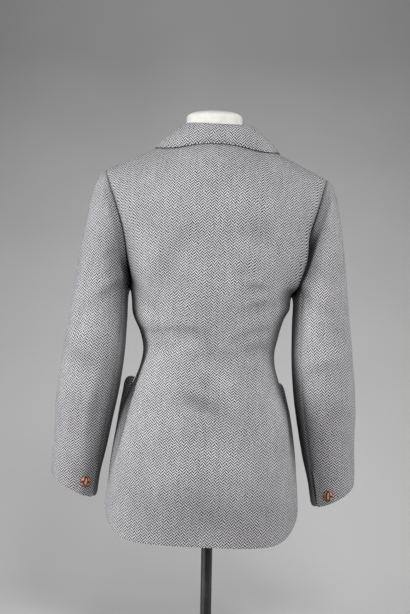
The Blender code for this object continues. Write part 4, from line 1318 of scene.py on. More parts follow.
@dataclass
class Collar:
    """The turned-down collar: a stand inside the neckline, a small fold and a fall over the shoulders."""

    stand_height: float = 0.0295
    fold_radius: float = 0.0035
    neck_station: float = 0.55
    gorge_rise: float = 0.82
    fall_rows: int = 5
    fall_bow: float = 0.003
    gap: float = 0.0009
    foot_gap: float = 0.0008
    foot_lift: float = 0.0006
    fold_turns: tuple[float, ...] = (40.0, 80.0, 120.0, 160.0)
    notch: tuple[float, float] = (0.0830, 0.8600)
    notch_lift: float = 0.0040
    notch_from: float = 0.70
    notch_down: float = 0.6
    stations: int = 44
    rows: int = 58
    row_edge: float = 0.03
    turn_low: float = math.radians(-17.0)
    turn_rate: float = 1.15
    gorge_way: Triple = (0.10, -0.90, 0.42)
    rims: Rims = Rims(first_row=0.0009, last_row=0.0009, first_column=0.0006, last_column=0.0010)
    edge: SizeTable = SizeTable(("station", "x", "y", "stand"), (
        (0.00, 0.0000, 0.0690, 1.00),
        (0.14, 0.0335, 0.0660, 0.98),
        (0.28, 0.0665, 0.0570, 0.92),
        (0.42, 0.0950, 0.0370, 0.81),
        (0.55, 0.1095, 0.0080, 0.68),
        (0.70, 0.1110, -0.0185, 0.52),
        (0.85, 0.1060, -0.0400, 0.35),
        (1.00, 0.0980, -0.0560, 0.17),
    ))

    def seam(self, station: Array) -> tuple[Array, Array, Array]:
        """Neck seam of the half collar: along the nape, then down the roll line to the gorge.

        Args:
            station: 0 at the centre back, 1 at the gorge.

        Returns:
            The seam, the way towards the neck opening, and the way along the stand.
        """
        behind = np.clip(station / self.neck_station, 0.0, 1.0)
        x = BODY.neck_half * np.sin(behind * math.pi / 2.0)
        top, over = BODY.shoulder_top(x)
        width = BODY.rings.at("half_width", BODY.tip_height)
        section = (1.0 - (x / width) ** BODY.roundness) ** (1.0 / BODY.roundness)
        part = np.sqrt(1.0 - (1.0 - over / BODY.back_rounding) ** 2)
        back = np.stack((x, BODY.rings.at("back", top) * section * part, top), axis=-1)
        before = np.clip((station - self.neck_station) / (1.0 - self.neck_station), 0.0, 1.0)
        rise = 1.0 - (1.0 - self.gorge_rise) * before
        front = BODY.upper(Sheet.FRONT, BODY.roll_share(rise), rise)
        seam = np.where((station <= self.neck_station)[..., None], back, front)
        ahead = ease(before * self.turn_rate)[..., None]
        inward = unit(seam * np.array((-1.0, -1.0, 0.0)))
        across = np.array((-math.cos(self.turn_low), 0.0, math.sin(-self.turn_low)))
        upward = np.array((0.0, 0.0, 1.0))
        outward = np.array(self.gorge_way)
        return seam, unit(inward + (across - inward) * ahead), unit(upward + (outward - upward) * ahead)

    def half(self) -> tuple[Array, int]:
        """The left half: a straight stand, a round fold, and a fall drawn to the edge line.

        Returns:
            Points of the outer face, and the column where the fall starts.
        """
        station = np.linspace(0.0, 1.0, self.stations + 1)
        seam, inward, upward = self.seam(station)
        share = self.edge.at("stand", station)[:, None]
        foot = seam + inward * (CLOTH.wall + self.foot_gap) + upward * self.foot_lift
        top = foot + upward * (self.stand_height * share - self.fold_radius)
        middle = top - inward * self.fold_radius
        rows = [foot, foot + (top - foot) * 0.5, top]
        for turn in np.radians(self.fold_turns):
            rows.append(middle + (inward * math.cos(turn) + upward * math.sin(turn)) * self.fold_radius)
        edge_x, edge_y = self.edge.at("x", station), self.edge.at("y", station)
        normal = stepped_normals(BODY.shoulder_at, edge_x, edge_y)
        edge = BODY.shoulder_at(edge_x, edge_y) + normal * (CLOTH.lie_gap + CLOTH.wall)
        fold_end, start = len(rows) - 1, rows[-1]
        notch_x, notch_z = np.array((self.notch[0],)), np.array((self.notch[1],))
        notch_normal = stepped_normals(BODY.front_at, notch_x, notch_z)
        notch = BODY.front_at(notch_x, notch_z) + notch_normal * self.notch_lift
        corner = notch - (start + (edge - start) * self.notch_down)
        bend = ease((station - self.notch_from) / (1.0 - self.notch_from))[:, None]
        for down in np.linspace(0.0, 1.0, self.fall_rows + 1)[1:]:
            line = start + (edge - start) * down
            bow = 4.0 * down * (1.0 - down)
            room = self.notch_down if down < self.notch_down else 1.0 - self.notch_down
            peak = 1.0 - abs(down - self.notch_down) / room
            rows.append(line + normal * self.fall_bow * bow * (1.0 - bend) + corner * bend * peak)
        profile = np.stack(rows)
        steps = np.linalg.norm(np.diff(profile, axis=0), axis=-1).mean(axis=1)
        knots = np.concatenate(((0.0,), np.cumsum(steps)))
        fine = knots[-1] * spaced(self.rows, self.row_edge)
        return np.swapaxes(hermite(knots, profile, fine), 0, 1), int(np.searchsorted(fine, knots[fold_end]))

    def shell(self, beds: Sequence[tuple[Array, Array]]) -> Shell:
        """The whole collar as a wall, its fall clear of the panels that it lies on.

        Args:
            beds: outer faces and normals of the left back and front.

        Returns:
            The collar.
        """
        left, fall_from = self.half()
        fall = slice(fall_from, None)
        for bed, facing in beds:
            left[:, fall] = rest_on(left[:, fall], bed, facing, CLOTH.wall + self.gap)
        grid = np.concatenate((left[:0:-1] * MIRRORED, left))
        normals = grid_normals(grid)
        if normals[self.stations, -2, 1] < 0.0:
            normals = -normals
        inner = grid - normals * CLOTH.wall
        half = inner[self.stations:, fall]
        for bed, facing in beds:
            half = rest_on(half, bed, facing, self.gap)
        inner[self.stations:, fall] = half
        inner[:self.stations + 1, fall] = (half * MIRRORED)[::-1]
        outer = self.rims.roll(grid, normals, CLOTH.roll)
        across = run_lengths(grid, 0)
        weave = np.stack((across - across[self.stations:self.stations + 1], -run_lengths(grid, 1)), axis=-1)
        return Shell("wool_collar", LEAN.place(outer), LEAN.place(inner), weave)


@dataclass
class Lapel(SidePiece):
    """The front's upper edge, rolled back on itself from the break to the gorge."""

    width: float = 0.0727
    spread: float = 0.60
    roll_columns: float = 4.0
    gap: float = 0.0007
    break_rise: float = 0.04
    gorge_rise: float = 0.82
    gorge_gap: float = 0.006
    turn_low: float = math.radians(-17.0)
    turn_top: float = math.radians(-35.3)
    rows: int = 54
    columns: int = 44
    row_edge: float = 0.02
    column_edge: float = 0.03
    last_place: float = 9.0
    rims: Rims = Rims(first_row=0.0008, last_row=0.0009, first_column=0.0006, last_column=0.0010)
    profile: SizeTable = SizeTable(("place", "share", "step", "lift"), (
        (0.0, 0.00, -0.0032, -0.0012),
        (1.0, 0.00, -0.0037, 0.0010),
        (2.0, 0.00, -0.0030, 0.0032),
        (3.0, 0.00, -0.0012, 0.0047),
        (4.0, 0.10, 0.0000, 0.0052),
        (5.0, 0.25, 0.0000, 0.0049),
        (6.0, 0.45, 0.0000, 0.0041),
        (7.0, 0.65, 0.0000, 0.0034),
        (8.0, 0.85, 0.0000, 0.0030),
        (9.0, 1.00, 0.0000, 0.0028),
    ))

    def shell(self, own: tuple[Array, Array], other: tuple[Array, Array]) -> Shell:
        """The lapel: a J-shaped profile carried along the roll line, clear of the fronts under it.

        Args:
            own: outer face and normals of its own front.
            other: outer face and normals of the other front, put on this side.

        Returns:
            The lapel as a wall with rolled edges.
        """
        hang = self.hang
        along = hang.lapel_start + (1.0 - hang.lapel_start) * spaced(self.rows, self.row_edge)
        rise = self.break_rise + (self.gorge_rise - self.gorge_gap - self.break_rise) * along
        start = BODY.upper(Sheet.FRONT, BODY.roll_share(rise), rise)[:, None]
        turn = (self.turn_low + (self.turn_top - self.turn_low) * along)[:, None]
        place = self.last_place * spaced(self.columns, self.column_edge)
        width = (self.width * along ** self.spread)[:, None]
        reach = self.profile.between("share", place) * width + self.profile.at("step", place)
        x = start[..., 0] + reach * np.cos(turn)
        z = start[..., 2] + reach * np.sin(turn)
        lift = self.profile.at("lift", place) + (BODY.lap_lift(x) if hang.over else 0.0 * x)
        grid = BODY.front_at(x, z) + stepped_normals(BODY.front_at, x, z) * lift[..., None]
        lying = place >= self.roll_columns
        grid[:, lying] = rest_on(grid[:, lying], *own, CLOTH.wall + self.gap)
        normals = grid_normals(grid)
        if normals[len(along) // 2, -2, 1] > 0.0:
            normals = -normals
        inner = grid - normals * CLOTH.wall
        inner[:, lying] = rest_on(inner[:, lying], *own, self.gap)
        if hang.over:
            grid = rest_on(grid, *other, self.gap)
            inner = rest_on(inner, *other, self.gap)
        outer = self.rims.roll(grid, normals, CLOTH.roll)
        weave = np.stack((run_lengths(grid, 1) * hang.sign, run_lengths(grid, 0)), axis=-1)
        return self.sided("wool_lapel_", outer, inner, weave)


@dataclass
class Pocket(SidePiece):
    """A patch pocket on the hip, its bag a little full and its mouth standing open."""

    front_angle: float = math.radians(37.0)
    rear_angle: float = math.radians(84.0)
    low: float = 0.298
    top: float = 0.478
    rear_rise: float = 0.018
    rear_from: float = 0.72
    corner: float = 0.16
    corner_height: float = 0.25
    bag: float = 0.005
    gape_up: float = 3.2
    gape_rear: float = 2.6
    rows: int = 46
    columns: int = 40
    row_edge: float = 0.03
    column_edge: float = 0.04
    rims: Rims = Rims(first_row=0.0010, last_row=0.0009, first_column=0.0010, last_column=0.0010)

    def shell(self) -> Shell:
        """The pocket on the front's own rings, moved out by its bag and by the gape of its mouth.

        Returns:
            The pocket as a wall with rolled edges.
        """
        up = spaced(self.rows, self.row_edge)[:, None]
        across = spaced(self.columns, self.column_edge)[None, :]
        below = np.clip(1.0 - up / self.corner_height, 0.0, 1.0)
        round_off = self.corner * (1.0 - np.sqrt(1.0 - below ** 2))
        share = round_off + (1.0 - 2.0 * round_off) * across
        angle = self.front_angle + (self.rear_angle - self.front_angle) * share
        top = self.top + self.rear_rise * ease((across - self.rear_from) / (1.0 - self.rear_from))
        grid = BODY.ring(math.pi - angle, self.low + (top - self.low) * up)
        normals = outward_normals(grid)
        grid = BODY.pressed(grid, normals, self.hang)
        bag = self.bag * np.sin(math.pi * across) * up * (2.0 - up)
        gape = self.hang.gape * up ** self.gape_up * np.sin(math.pi * across ** self.gape_rear)
        outer = grid + normals * (CLOTH.wall + CLOTH.lie_gap + bag + gape)[..., None]
        facing = outward_normals(outer)
        inner = outer - facing * CLOTH.wall
        rolled = self.rims.roll(outer, facing, CLOTH.roll)
        return self.sided("wool_pocket_", rolled, inner, body_weave(grid, -self.hang.sign))


@dataclass
class KnotButton:
    """A domed button of plaited leather, flat behind; its sizes are shares of its radius."""

    name: str
    radius: float
    seat: Array
    facing: Array
    dome: float = 0.40
    rim: float = 0.16
    back: tuple[tuple[float, float], ...] = ((0.80, 0.0), (0.93, 0.03))
    groove: float = 0.150
    groove_from: float = 0.05
    groove_run: float = 0.12
    strip_half: float = 0.40
    strip_bow: float = 0.75
    strip_edge: float = 0.095
    end_half: float = 0.12
    end_edge: float = 0.07
    crown: float = 0.49 * math.pi
    rings: int = 34
    sides: int = 72

    def build(self) -> bpy.types.Object:
        """A turned dome whose height dips along the edges of the plaited strips.

        The strips' edges are two bowed lines across the dome, and two short ones between them and the
        rim; each dips the dome in a narrow bell.

        Returns:
            The button.
        """
        side = unit(np.cross(self.facing, np.array((0.0, 0.0, 1.0))))
        upright = np.cross(side, self.facing)
        turn = np.linspace(0.0, self.crown, self.rings)
        behind = np.array(self.back)
        out = np.concatenate((behind[:, 0], np.cos(turn)))[:, None]
        height = np.concatenate((behind[:, 1], self.rim + self.dome * np.sin(turn)))[:, None]
        angle = np.linspace(0.0, 2.0 * math.pi, self.sides, endpoint=False)[None, :]
        across, along = out * np.cos(angle), out * np.sin(angle)
        lens = np.abs(across) - self.strip_half * (1.0 - self.strip_bow * along ** 2)
        strips = np.exp(-(lens / self.strip_edge) ** 2)
        ends = np.exp(-((np.abs(along) - self.end_half) / self.end_edge) ** 2) * (lens > 0.0)
        upper = np.clip((height - self.groove_from) / self.groove_run, 0.0, 1.0)
        crease = np.clip(strips + ends, 0.0, 1.0) * upper
        height = height - self.groove * crease
        local = np.stack(np.broadcast_arrays(across, along, height), axis=-1) * self.radius
        points = (self.seat + local[..., :1] * side + local[..., 1:2] * upright
                  + (local[..., 2:] + CLOTH.lie_gap) * self.facing)
        # The groove depth is kept on each point, and the leather's finish paints shade from it.
        return turned_object(self.name, LEAN.place(points), crease)


@dataclass
class DressForm:
    """The padded form inside the jacket, with its pole and base."""

    sides: int = 112
    low: float = 0.300
    shoulder_low: float = 0.850
    shoulder_next: float = 0.854
    trunk_rows: int = 70
    shoulder_rows: int = 60
    pole_radius: float = 0.0100
    pole_rows: int = 8
    base_radius: float = 0.150
    base_thick: float = 0.012
    base_bevel: float = 0.0025
    bevel_points: int = 7
    neck_top: float = 0.968
    neck_radius: float = 0.0500
    neck_dome: float = 0.012
    dome_start: float = 0.06
    dome_end: float = 0.49 * math.pi
    dome_power: float = 0.55
    dome_rows: int = 22
    rings: SizeTable = SizeTable(("height", "width", "back", "front", "round"), (
        (0.300, 0.1340, 0.0960, 0.0900, 2.2),
        (0.340, 0.1420, 0.1040, 0.0960, 2.2),
        (0.390, 0.1400, 0.1030, 0.0960, 2.2),
        (0.440, 0.1310, 0.0970, 0.0930, 2.2),
        (0.483, 0.1170, 0.0860, 0.0870, 2.2),
        (0.515, 0.1070, 0.0770, 0.0820, 2.2),
        (0.5425, 0.1030, 0.0720, 0.0810, 2.2),
        (0.5785, 0.1075, 0.0745, 0.0860, 2.2),
        (0.607, 0.1150, 0.0790, 0.0930, 2.2),
        (0.655, 0.1280, 0.0875, 0.1050, 2.2),
        (0.700, 0.1370, 0.0920, 0.1090, 2.2),
        (0.757, 0.1460, 0.0950, 0.1030, 2.2),
        (0.800, 0.1540, 0.0940, 0.0920, 2.1),
        (0.830, 0.1580, 0.0900, 0.0820, 2.0),
        (0.862, 0.1570, 0.0830, 0.0720, 1.75),
        (0.8912, 0.1370, 0.0730, 0.0630, 1.65),
        (0.9107, 0.0970, 0.0610, 0.0555, 1.6),
        (0.920, 0.0660, 0.0555, 0.0525, 1.8),
        (0.931, 0.0525, 0.0520, 0.0510, 2.0),
        (0.948, 0.0505, 0.0505, 0.0505, 2.0),
        (0.968, 0.0500, 0.0500, 0.0500, 2.0),
    ))

    @property
    def angles(self) -> Array:
        """Even angles once round, as one row."""
        return np.linspace(0.0, 2.0 * math.pi, self.sides, endpoint=False)[None, :]

    def body(self) -> bpy.types.Object:
        """Superellipse rings on straight lines between the table's rows, closed by a shallow neck dome.

        Returns:
            The padded form.
        """
        angle = self.angles
        height = np.concatenate((
            np.linspace(self.low, self.shoulder_low, self.trunk_rows),
            np.linspace(self.shoulder_next, self.neck_top, self.shoulder_rows)))[:, None]
        exponent = 2.0 / self.rings.between("round", height)
        back, front = self.rings.between("back", height), self.rings.between("front", height)
        depth = np.where(np.sin(angle) > 0.0, back, front)
        x = self.rings.between("width", height) * power(np.cos(angle), exponent)
        y = depth * power(np.sin(angle), exponent)
        trunk = np.stack(np.broadcast_arrays(x, y, height), axis=-1)
        turn = np.linspace(self.dome_start, self.dome_end, self.dome_rows)[:, None]
        reach = self.neck_radius * np.cos(turn) ** self.dome_power
        dome = self.rounds(reach, self.neck_top + self.neck_dome * np.sin(turn))
        return turned_object("form_padding", np.concatenate((trunk, dome)))

    def rounds(self, radius: Array, height: Array) -> Array:
        """Round rings of points, one for each radius and height."""
        x, y = radius * np.cos(self.angles), radius * np.sin(self.angles)
        return np.stack(np.broadcast_arrays(x, y, height), axis=-1)

    def turned(self, name: str, profile: Sequence[tuple[float, float]]) -> bpy.types.Object:
        """A round piece from rows of radius and height."""
        table = np.array(profile)
        return turned_object(name, self.rounds(table[:, :1], table[:, 1:]))

    def pole(self) -> bpy.types.Object:
        """A plain upright pole between the base and the form.

        Returns:
            The pole.
        """
        low, high = self.base_thick + CLOTH.seam_gap, self.low - CLOTH.seam_gap
        heights = low + (high - low) * np.arange(self.pole_rows + 1) / self.pole_rows
        return self.turned("stand_pole", [(self.pole_radius, height) for height in heights])

    def base(self) -> bpy.types.Object:
        """A round plate whose two rims are quarter circles.

        Returns:
            The base.
        """
        turns = np.linspace(0.0, math.pi / 2.0, self.bevel_points)
        inner = self.base_radius - self.base_bevel
        low = [(inner + self.base_bevel * math.sin(t), self.base_bevel * (1.0 - math.cos(t))) for t in turns]
        high = [(radius, self.base_thick - height) for radius, height in reversed(low)]
        return self.turned("stand_base", low + high)


def arithmetic(operation: str, swapped: bool = False) -> Callable[["Wire", Any], "Wire"]:
    """A method of Wire that adds a Math node for one operation on two values.

    Args:
        operation: the node's operation.
        swapped: whether the other value comes first.

    Returns:
        The method.
    """
    def method(wire: "Wire", other: Any) -> "Wire":
        """The operation on the wire and another value."""
        return wire.maths(operation, other, wire) if swapped else wire.maths(operation, wire, other)

    return method


class Wire:
    """An output socket with arithmetic: each operation adds a Math node to the material."""

    def __init__(self, finish: "Brush", socket: bpy.types.NodeSocket) -> None:
        """Wraps one socket of a material."""
        self.finish = finish
        self.socket = socket

    def maths(self, operation: str, *values: Any, clamp: bool = False) -> "Wire":
        """A Math node on the given values.

        Args:
            operation: the node's operation.
            values: wires or numbers for its sockets.
            clamp: whether its result is kept between 0 and 1.

        Returns:
            The node's output.
        """
        settings = {"operation": operation, "use_clamp": clamp}
        made = self.finish.node("ShaderNodeMath", settings, dict(enumerate(values)))
        return Wire(self.finish, made.outputs[0])

    __add__ = __radd__ = arithmetic("ADD")
    __sub__ = arithmetic("SUBTRACT")
    __rsub__ = arithmetic("SUBTRACT", swapped=True)
    __mul__ = __rmul__ = arithmetic("MULTIPLY")
    __truediv__ = arithmetic("DIVIDE")
    __mod__ = arithmetic("FLOORED_MODULO")
    __pow__ = arithmetic("POWER")
    zigzag = arithmetic("PINGPONG")

    def floor(self) -> "Wire":
        """Whole part."""
        return self.maths("FLOOR", self)

    def step(self, low: float, high: float) -> "Wire":
        """Soft step from 0 to 1: three times the square less twice the cube of the share between two ends.

        Args:
            low: where the step starts.
            high: where it ends.

        Returns:
            The step.
        """
        made = self.finish.node("ShaderNodeMapRange", {"interpolation_type": "SMOOTHSTEP"},
                                {"Value": self, "From Min": low, "From Max": high})
        return Wire(self.finish, made.outputs[0])


class Brush:
    """A material being made, with one method that adds any node."""

    def __init__(self, name: str) -> None:
        """Starts a material that holds only its shader and its output.

        Args:
            name: the material's name.
        """
        self.material = bpy.data.materials.new(name)
        self.material.use_nodes = True
        self.tree = self.material.node_tree
        self.shader = self.tree.nodes["Principled BSDF"]

    def node(self, kind: str, settings: Optional[Mapping[str, Any]] = None,
             sockets: Optional[Mapping[Any, Any]] = None) -> bpy.types.Node:
        """Adds a node: its settings first, then the values or links of its sockets.

        Args:
            kind: the node's type.
            settings: properties of the node.
            sockets: values or wires by socket name, identifier or number.

        Returns:
            The node.
        """
        made = self.tree.nodes.new(kind)
        for key, value in (settings or {}).items():
            setattr(made, key, value)
        for key, value in (sockets or {}).items():
            self.feed(made, key, value)
        return made

    def feed(self, node: bpy.types.Node, key: Any, value: Any) -> None:
        """Gives a socket a constant, or links a wire to it.

        Args:
            node: the node.
            key: the socket's name, identifier or number.
            value: the constant or the wire.
        """
        socket = node.inputs[key] if isinstance(key, int) else next(
            s for s in node.inputs if s.identifier == key or s.name == key)
        if isinstance(value, Wire):
            self.tree.links.new(value.socket, socket)
        else:
            socket.default_value = value

    def wire(self, node: bpy.types.Node, output: Any = 0) -> Wire:
        """One output of a node.

        Args:
            node: the node.
            output: the output's number, name or identifier.

        Returns:
            The output.
        """
        if isinstance(output, int):
            return Wire(self, node.outputs[output])
        return Wire(self, next(s for s in node.outputs if s.identifier == output or s.name == output))

    def mix(self, share: Any, first: Any, second: Any, blend: str = "MIX") -> Wire:
        """Mix of two colours.

        Args:
            share: share of the second colour.
            first: the first colour.
            second: the second colour.
            blend: how the second colour is laid on the first.

        Returns:
            The mixed colour.
        """
        made = self.node("ShaderNodeMix", {"data_type": "RGBA", "blend_type": blend},
                         {"Factor_Float": share, "A_Color": first, "B_Color": second})
        return self.wire(made, "Result_Color")

    def noise(self, place: Wire, scale: float, detail: float = 2.0, roughness: float = 0.5) -> Wire:
        """Soft noise from 0 to 1.

        Args:
            place: where the noise is read.
            scale: its waves in each unit of place.
            detail: how many finer layers are added.
            roughness: how strong the finer layers are.

        Returns:
            The noise.
        """
        made = self.node("ShaderNodeTexNoise", {}, {
            "Vector": place, "Scale": scale, "Detail": detail, "Roughness": roughness})
        return self.wire(made, 0)

    def objects(self) -> Wire:
        """Place in the part's frame."""
        return self.wire(self.node("ShaderNodeTexCoord"), "Object")

    def crease(self) -> Wire:
        """The point attribute of painted shade: how deep in a crease a point lies, less than nothing where a
        ridge is painted lighter.
        """
        return self.wire(self.node("ShaderNodeAttribute", {"attribute_name": PAINTED_SHADE_MAP}), "Fac")

    def bump(self, height: Wire, strength: float, distance: float) -> Wire:
        """Bumped normal from a height."""
        made = self.node("ShaderNodeBump", {}, {"Height": height, "Strength": strength, "Distance": distance})
        return self.wire(made, "Normal")

    def set(self, **values: Any) -> None:
        """Sets or links the shader's sockets; an underscore in a name stands for a space."""
        for key, value in values.items():
            self.feed(self.shader, key.replace("_", " "), value)


def colour(red: float, green: float, blue: float) -> tuple[float, float, float, float]:
    """A colour with full cover."""
    return (red, green, blue, 1.0)


@dataclass(frozen=True)
class HerringboneWool:
    """Grey herringbone: light and dark yarn in slanted stripes that turn back at each column."""

    column: float = 0.0048
    pitch: float = 0.0050
    dark: Triple = (0.020, 0.020, 0.024)
    light: Triple = (0.615, 0.610, 0.630)
    sheen: float = 0.05
    # reach and depth: distance and power of the ambient occlusion that paints shade into the colour
    reach: float = 0.050
    depth: float = 1.3
    wander_scale: float = 70.0
    wander: float = 0.9
    yarn_edges: tuple[float, float] = (0.38, 0.70)
    strand_scale: float = 900.0
    strand_share: float = 0.50
    heather_scale: float = 330.0
    heather_share: float = 1.00
    streak_scale: float = 210.0
    streak_share: float = 0.50
    streak_stretch: Triple = (1.0, 0.10, 1.0)
    cloud_scale: float = 14.0
    cloud_low: float = 0.76
    cloud_range: float = 0.48
    bump_strength: float = 0.45
    bump_height: float = 0.0005

    def make(self) -> bpy.types.Material:
        """Weave from the cloth's own map: a zigzag across the columns shifts the stripes up and down.

        The colour carries painted shade: it darkens with ambient occlusion and in the folds' troughs, and a
        painted highlight lightens it on their ridges.

        Returns:
            The finish.
        """
        brush = Brush("herringbone_wool")
        place = brush.wire(brush.node("ShaderNodeUVMap", {"uv_map": WEAVE_MAP}), 0)
        parts = brush.node("ShaderNodeSeparateXYZ", {}, {0: place})
        wander = brush.noise(place, self.wander_scale, 2.0)
        across = brush.wire(parts, 0) / self.column
        along = brush.wire(parts, 1) / self.pitch + (wander - 0.5) * self.wander
        turned = across.zigzag(1.0) * (self.column / self.pitch)
        half_step = (across.floor() % 2.0) * 0.5
        phase = along + turned + half_step
        stripe = (phase * 2.0).zigzag(1.0)
        yarn = stripe.step(*self.yarn_edges)
        strand = brush.noise(place, self.strand_scale, 2.0, 0.6)
        heather = brush.noise(place, self.heather_scale, 2.0, 0.6)
        stretch = {0: place, 1: self.streak_stretch}
        drawn = brush.node("ShaderNodeVectorMath", {"operation": "MULTIPLY"}, stretch)
        streak = brush.noise(brush.wire(drawn), self.streak_scale, 2.0, 0.6)
        cloud = brush.noise(brush.objects(), self.cloud_scale, 3.0, 0.60)
        mottle = (strand - 0.5) * self.strand_share
        share = yarn + mottle + (heather - 0.5) * self.heather_share + (streak - 0.5) * self.streak_share
        share = share.step(0.0, 1.0)
        woven = brush.mix(share, colour(*self.dark), colour(*self.light))
        # Painted shade: ambient occlusion darkens the colour in creases and in the gaps between sleeves, body
        # and pockets.
        occlusion_shade = brush.node("ShaderNodeAmbientOcclusion", {"samples": 8}, {"Distance": self.reach})
        reach = brush.wire(occlusion_shade, "AO")
        # Random cloudy tone, times painted shade in the folds' troughs and a painted highlight on their
        # ridges.
        cloud_and_fold_shade = (self.cloud_low + self.cloud_range * cloud) * (1.0 - brush.crease())
        tone_and_painted_shade = cloud_and_fold_shade * reach ** self.depth
        shade = brush.node("ShaderNodeCombineXYZ", {}, {0: tone_and_painted_shade, 1: tone_and_painted_shade, 2: tone_and_painted_shade})
        fuzz = yarn * 0.6 + strand * 0.5 + heather * 0.3
        brush.set(
            Base_Color=brush.mix(1.0, woven, brush.wire(shade), "MULTIPLY"),
            Roughness=0.93,
            Sheen_Weight=self.sheen,
            Sheen_Roughness=0.45,
            Specular_IOR_Level=0.18,
            Normal=brush.bump(fuzz, self.bump_strength, self.bump_height))
        return brush.material


@dataclass(frozen=True)
class PlaitedLeather:
    """Tan leather, with painted shade darkening its creases, and polished on the high places."""

    tan: Triple = (0.900, 0.360, 0.190)
    dark: Triple = (0.030, 0.011, 0.007)
    blotch_scale: float = 320.0
    grain_scale: float = 2600.0
    crease_painted_shade: float = 0.85
    polish_and_shade_edges: tuple[float, float] = (0.15, 0.70)

    def make(self) -> bpy.types.Material:
        """Grain and blotches from noise, painted shade in the creases, and a satin polish.

        Returns:
            The finish.
        """
        brush = Brush("plaited_leather")
        place = brush.objects()
        blotch = brush.noise(place, self.blotch_scale, 3.0, 0.6)
        grain = brush.noise(place, self.grain_scale, 2.0, 0.6)
        # Random blotches, with painted shade from the groove depth pulling the leather towards its dark
        # colour.
        polish_and_groove_shade = (blotch + (grain - 0.5) * 0.3 - brush.crease() * self.crease_painted_shade).step(*self.polish_and_shade_edges)
        brush.set(
            Base_Color=brush.mix(polish_and_groove_shade, colour(*self.dark), colour(*self.tan)),
            Roughness=0.32 + 0.25 * grain,
            Coat_Weight=0.12,
            Normal=brush.bump(grain, 0.35, 0.0003))
        return brush.material


@dataclass(frozen=True)
class FormJersey:
    """Cream jersey stretched over the form: fine upright knit ribs."""

    cream: Triple = (0.76, 0.755, 0.70)
    rib: float = 0.0011
    rib_radius: float = 0.05
    slub_scale: float = 60.0
    soil: float = 0.86

    def make(self) -> bpy.types.Material:
        """Ribs by angle round the form, with a little soil and slub from noise.

        Returns:
            The finish.
        """
        brush = Brush("form_jersey")
        place = brush.objects()
        parts = brush.node("ShaderNodeSeparateXYZ", {}, {0: place})
        round_angle = brush.wire(parts, 0).maths("ARCTAN2", brush.wire(parts, 0), brush.wire(parts, 1))
        ribs = (round_angle * (self.rib_radius / self.rib)).zigzag(1.0)
        loops = (brush.wire(parts, 2) / self.rib).zigzag(1.0)
        slub = brush.noise(place, self.slub_scale, 3.0, 0.6)
        darker = tuple(self.soil * part for part in self.cream)
        brush.set(
            Base_Color=brush.mix(slub.step(0.25, 0.75), colour(*darker), colour(*self.cream)),
            Roughness=0.86,
            Sheen_Weight=0.15,
            Normal=brush.bump(ribs * 0.6 + loops * 0.4 + slub * 0.4, 0.30, 0.0003))
        return brush.material


@dataclass(frozen=True)
class BlackPaint:
    """Black powder paint on the pole and the base, worn a little grey."""

    black: Triple = (0.012, 0.012, 0.014)
    wear_and_fold_shade: Triple = (0.030, 0.030, 0.033)
    peel_scale: float = 900.0
    scuff_scale: float = 26.0

    def make(self) -> bpy.types.Material:
        """Fine orange-peel bump and soft scuffs from noise.

        Returns:
            The finish.
        """
        brush = Brush("black_paint")
        place = brush.objects()
        peel = brush.noise(place, self.peel_scale, 2.0)
        scuff = brush.noise(place, self.scuff_scale, 4.0, 0.65)
        brush.set(
            Base_Color=brush.mix(scuff.step(0.42, 0.70), colour(*self.black), colour(*self.wear_and_fold_shade)),
            Roughness=0.36 + 0.20 * scuff,
            Normal=brush.bump(peel, 0.20, 0.0002))
        return brush.material


@dataclass(frozen=True)
class PaperBackdrop:
    """Plain studio paper, pale grey at the floor, with painted shade darkening it upwards."""

    low: Triple = (0.54, 0.54, 0.54)
    high: Triple = (0.128, 0.128, 0.128)
    top: float = 1.5
    bend: float = 0.45
    mottle_scale: float = 3.0
    mottle: float = 0.06

    def make(self) -> bpy.types.Material:
        """Matt paper with a trace of mottle, and painted shade that darkens it upwards from the floor.

        Returns:
            The finish.
        """
        brush = Brush("studio_paper")
        place = brush.objects()
        height = brush.wire(brush.node("ShaderNodeSeparateXYZ", {}, {0: place}), 2)
        share = height.maths("DIVIDE", height, self.top, clamp=True)
        mottle = (brush.noise(place, self.mottle_scale, 2.0) - 0.5) * self.mottle
        # Painted shade: the paper darkens with height, from the pale floor to the darker top.
        climb = share ** self.bend + mottle
        climb = climb.maths("ADD", climb, 0.0, clamp=True)
        brush.set(
            Base_Color=brush.mix(climb, colour(*self.low), colour(*self.high)),
            Roughness=0.95,
            Specular_IOR_Level=0.10)
        return brush.material


@dataclass(frozen=True)
class Cut:
    """The flat cut of one cloth piece: the rectangle it is cut from, and how it is held."""

    width: float
    length: float
    held: Held
    rests_on: tuple[str, ...]


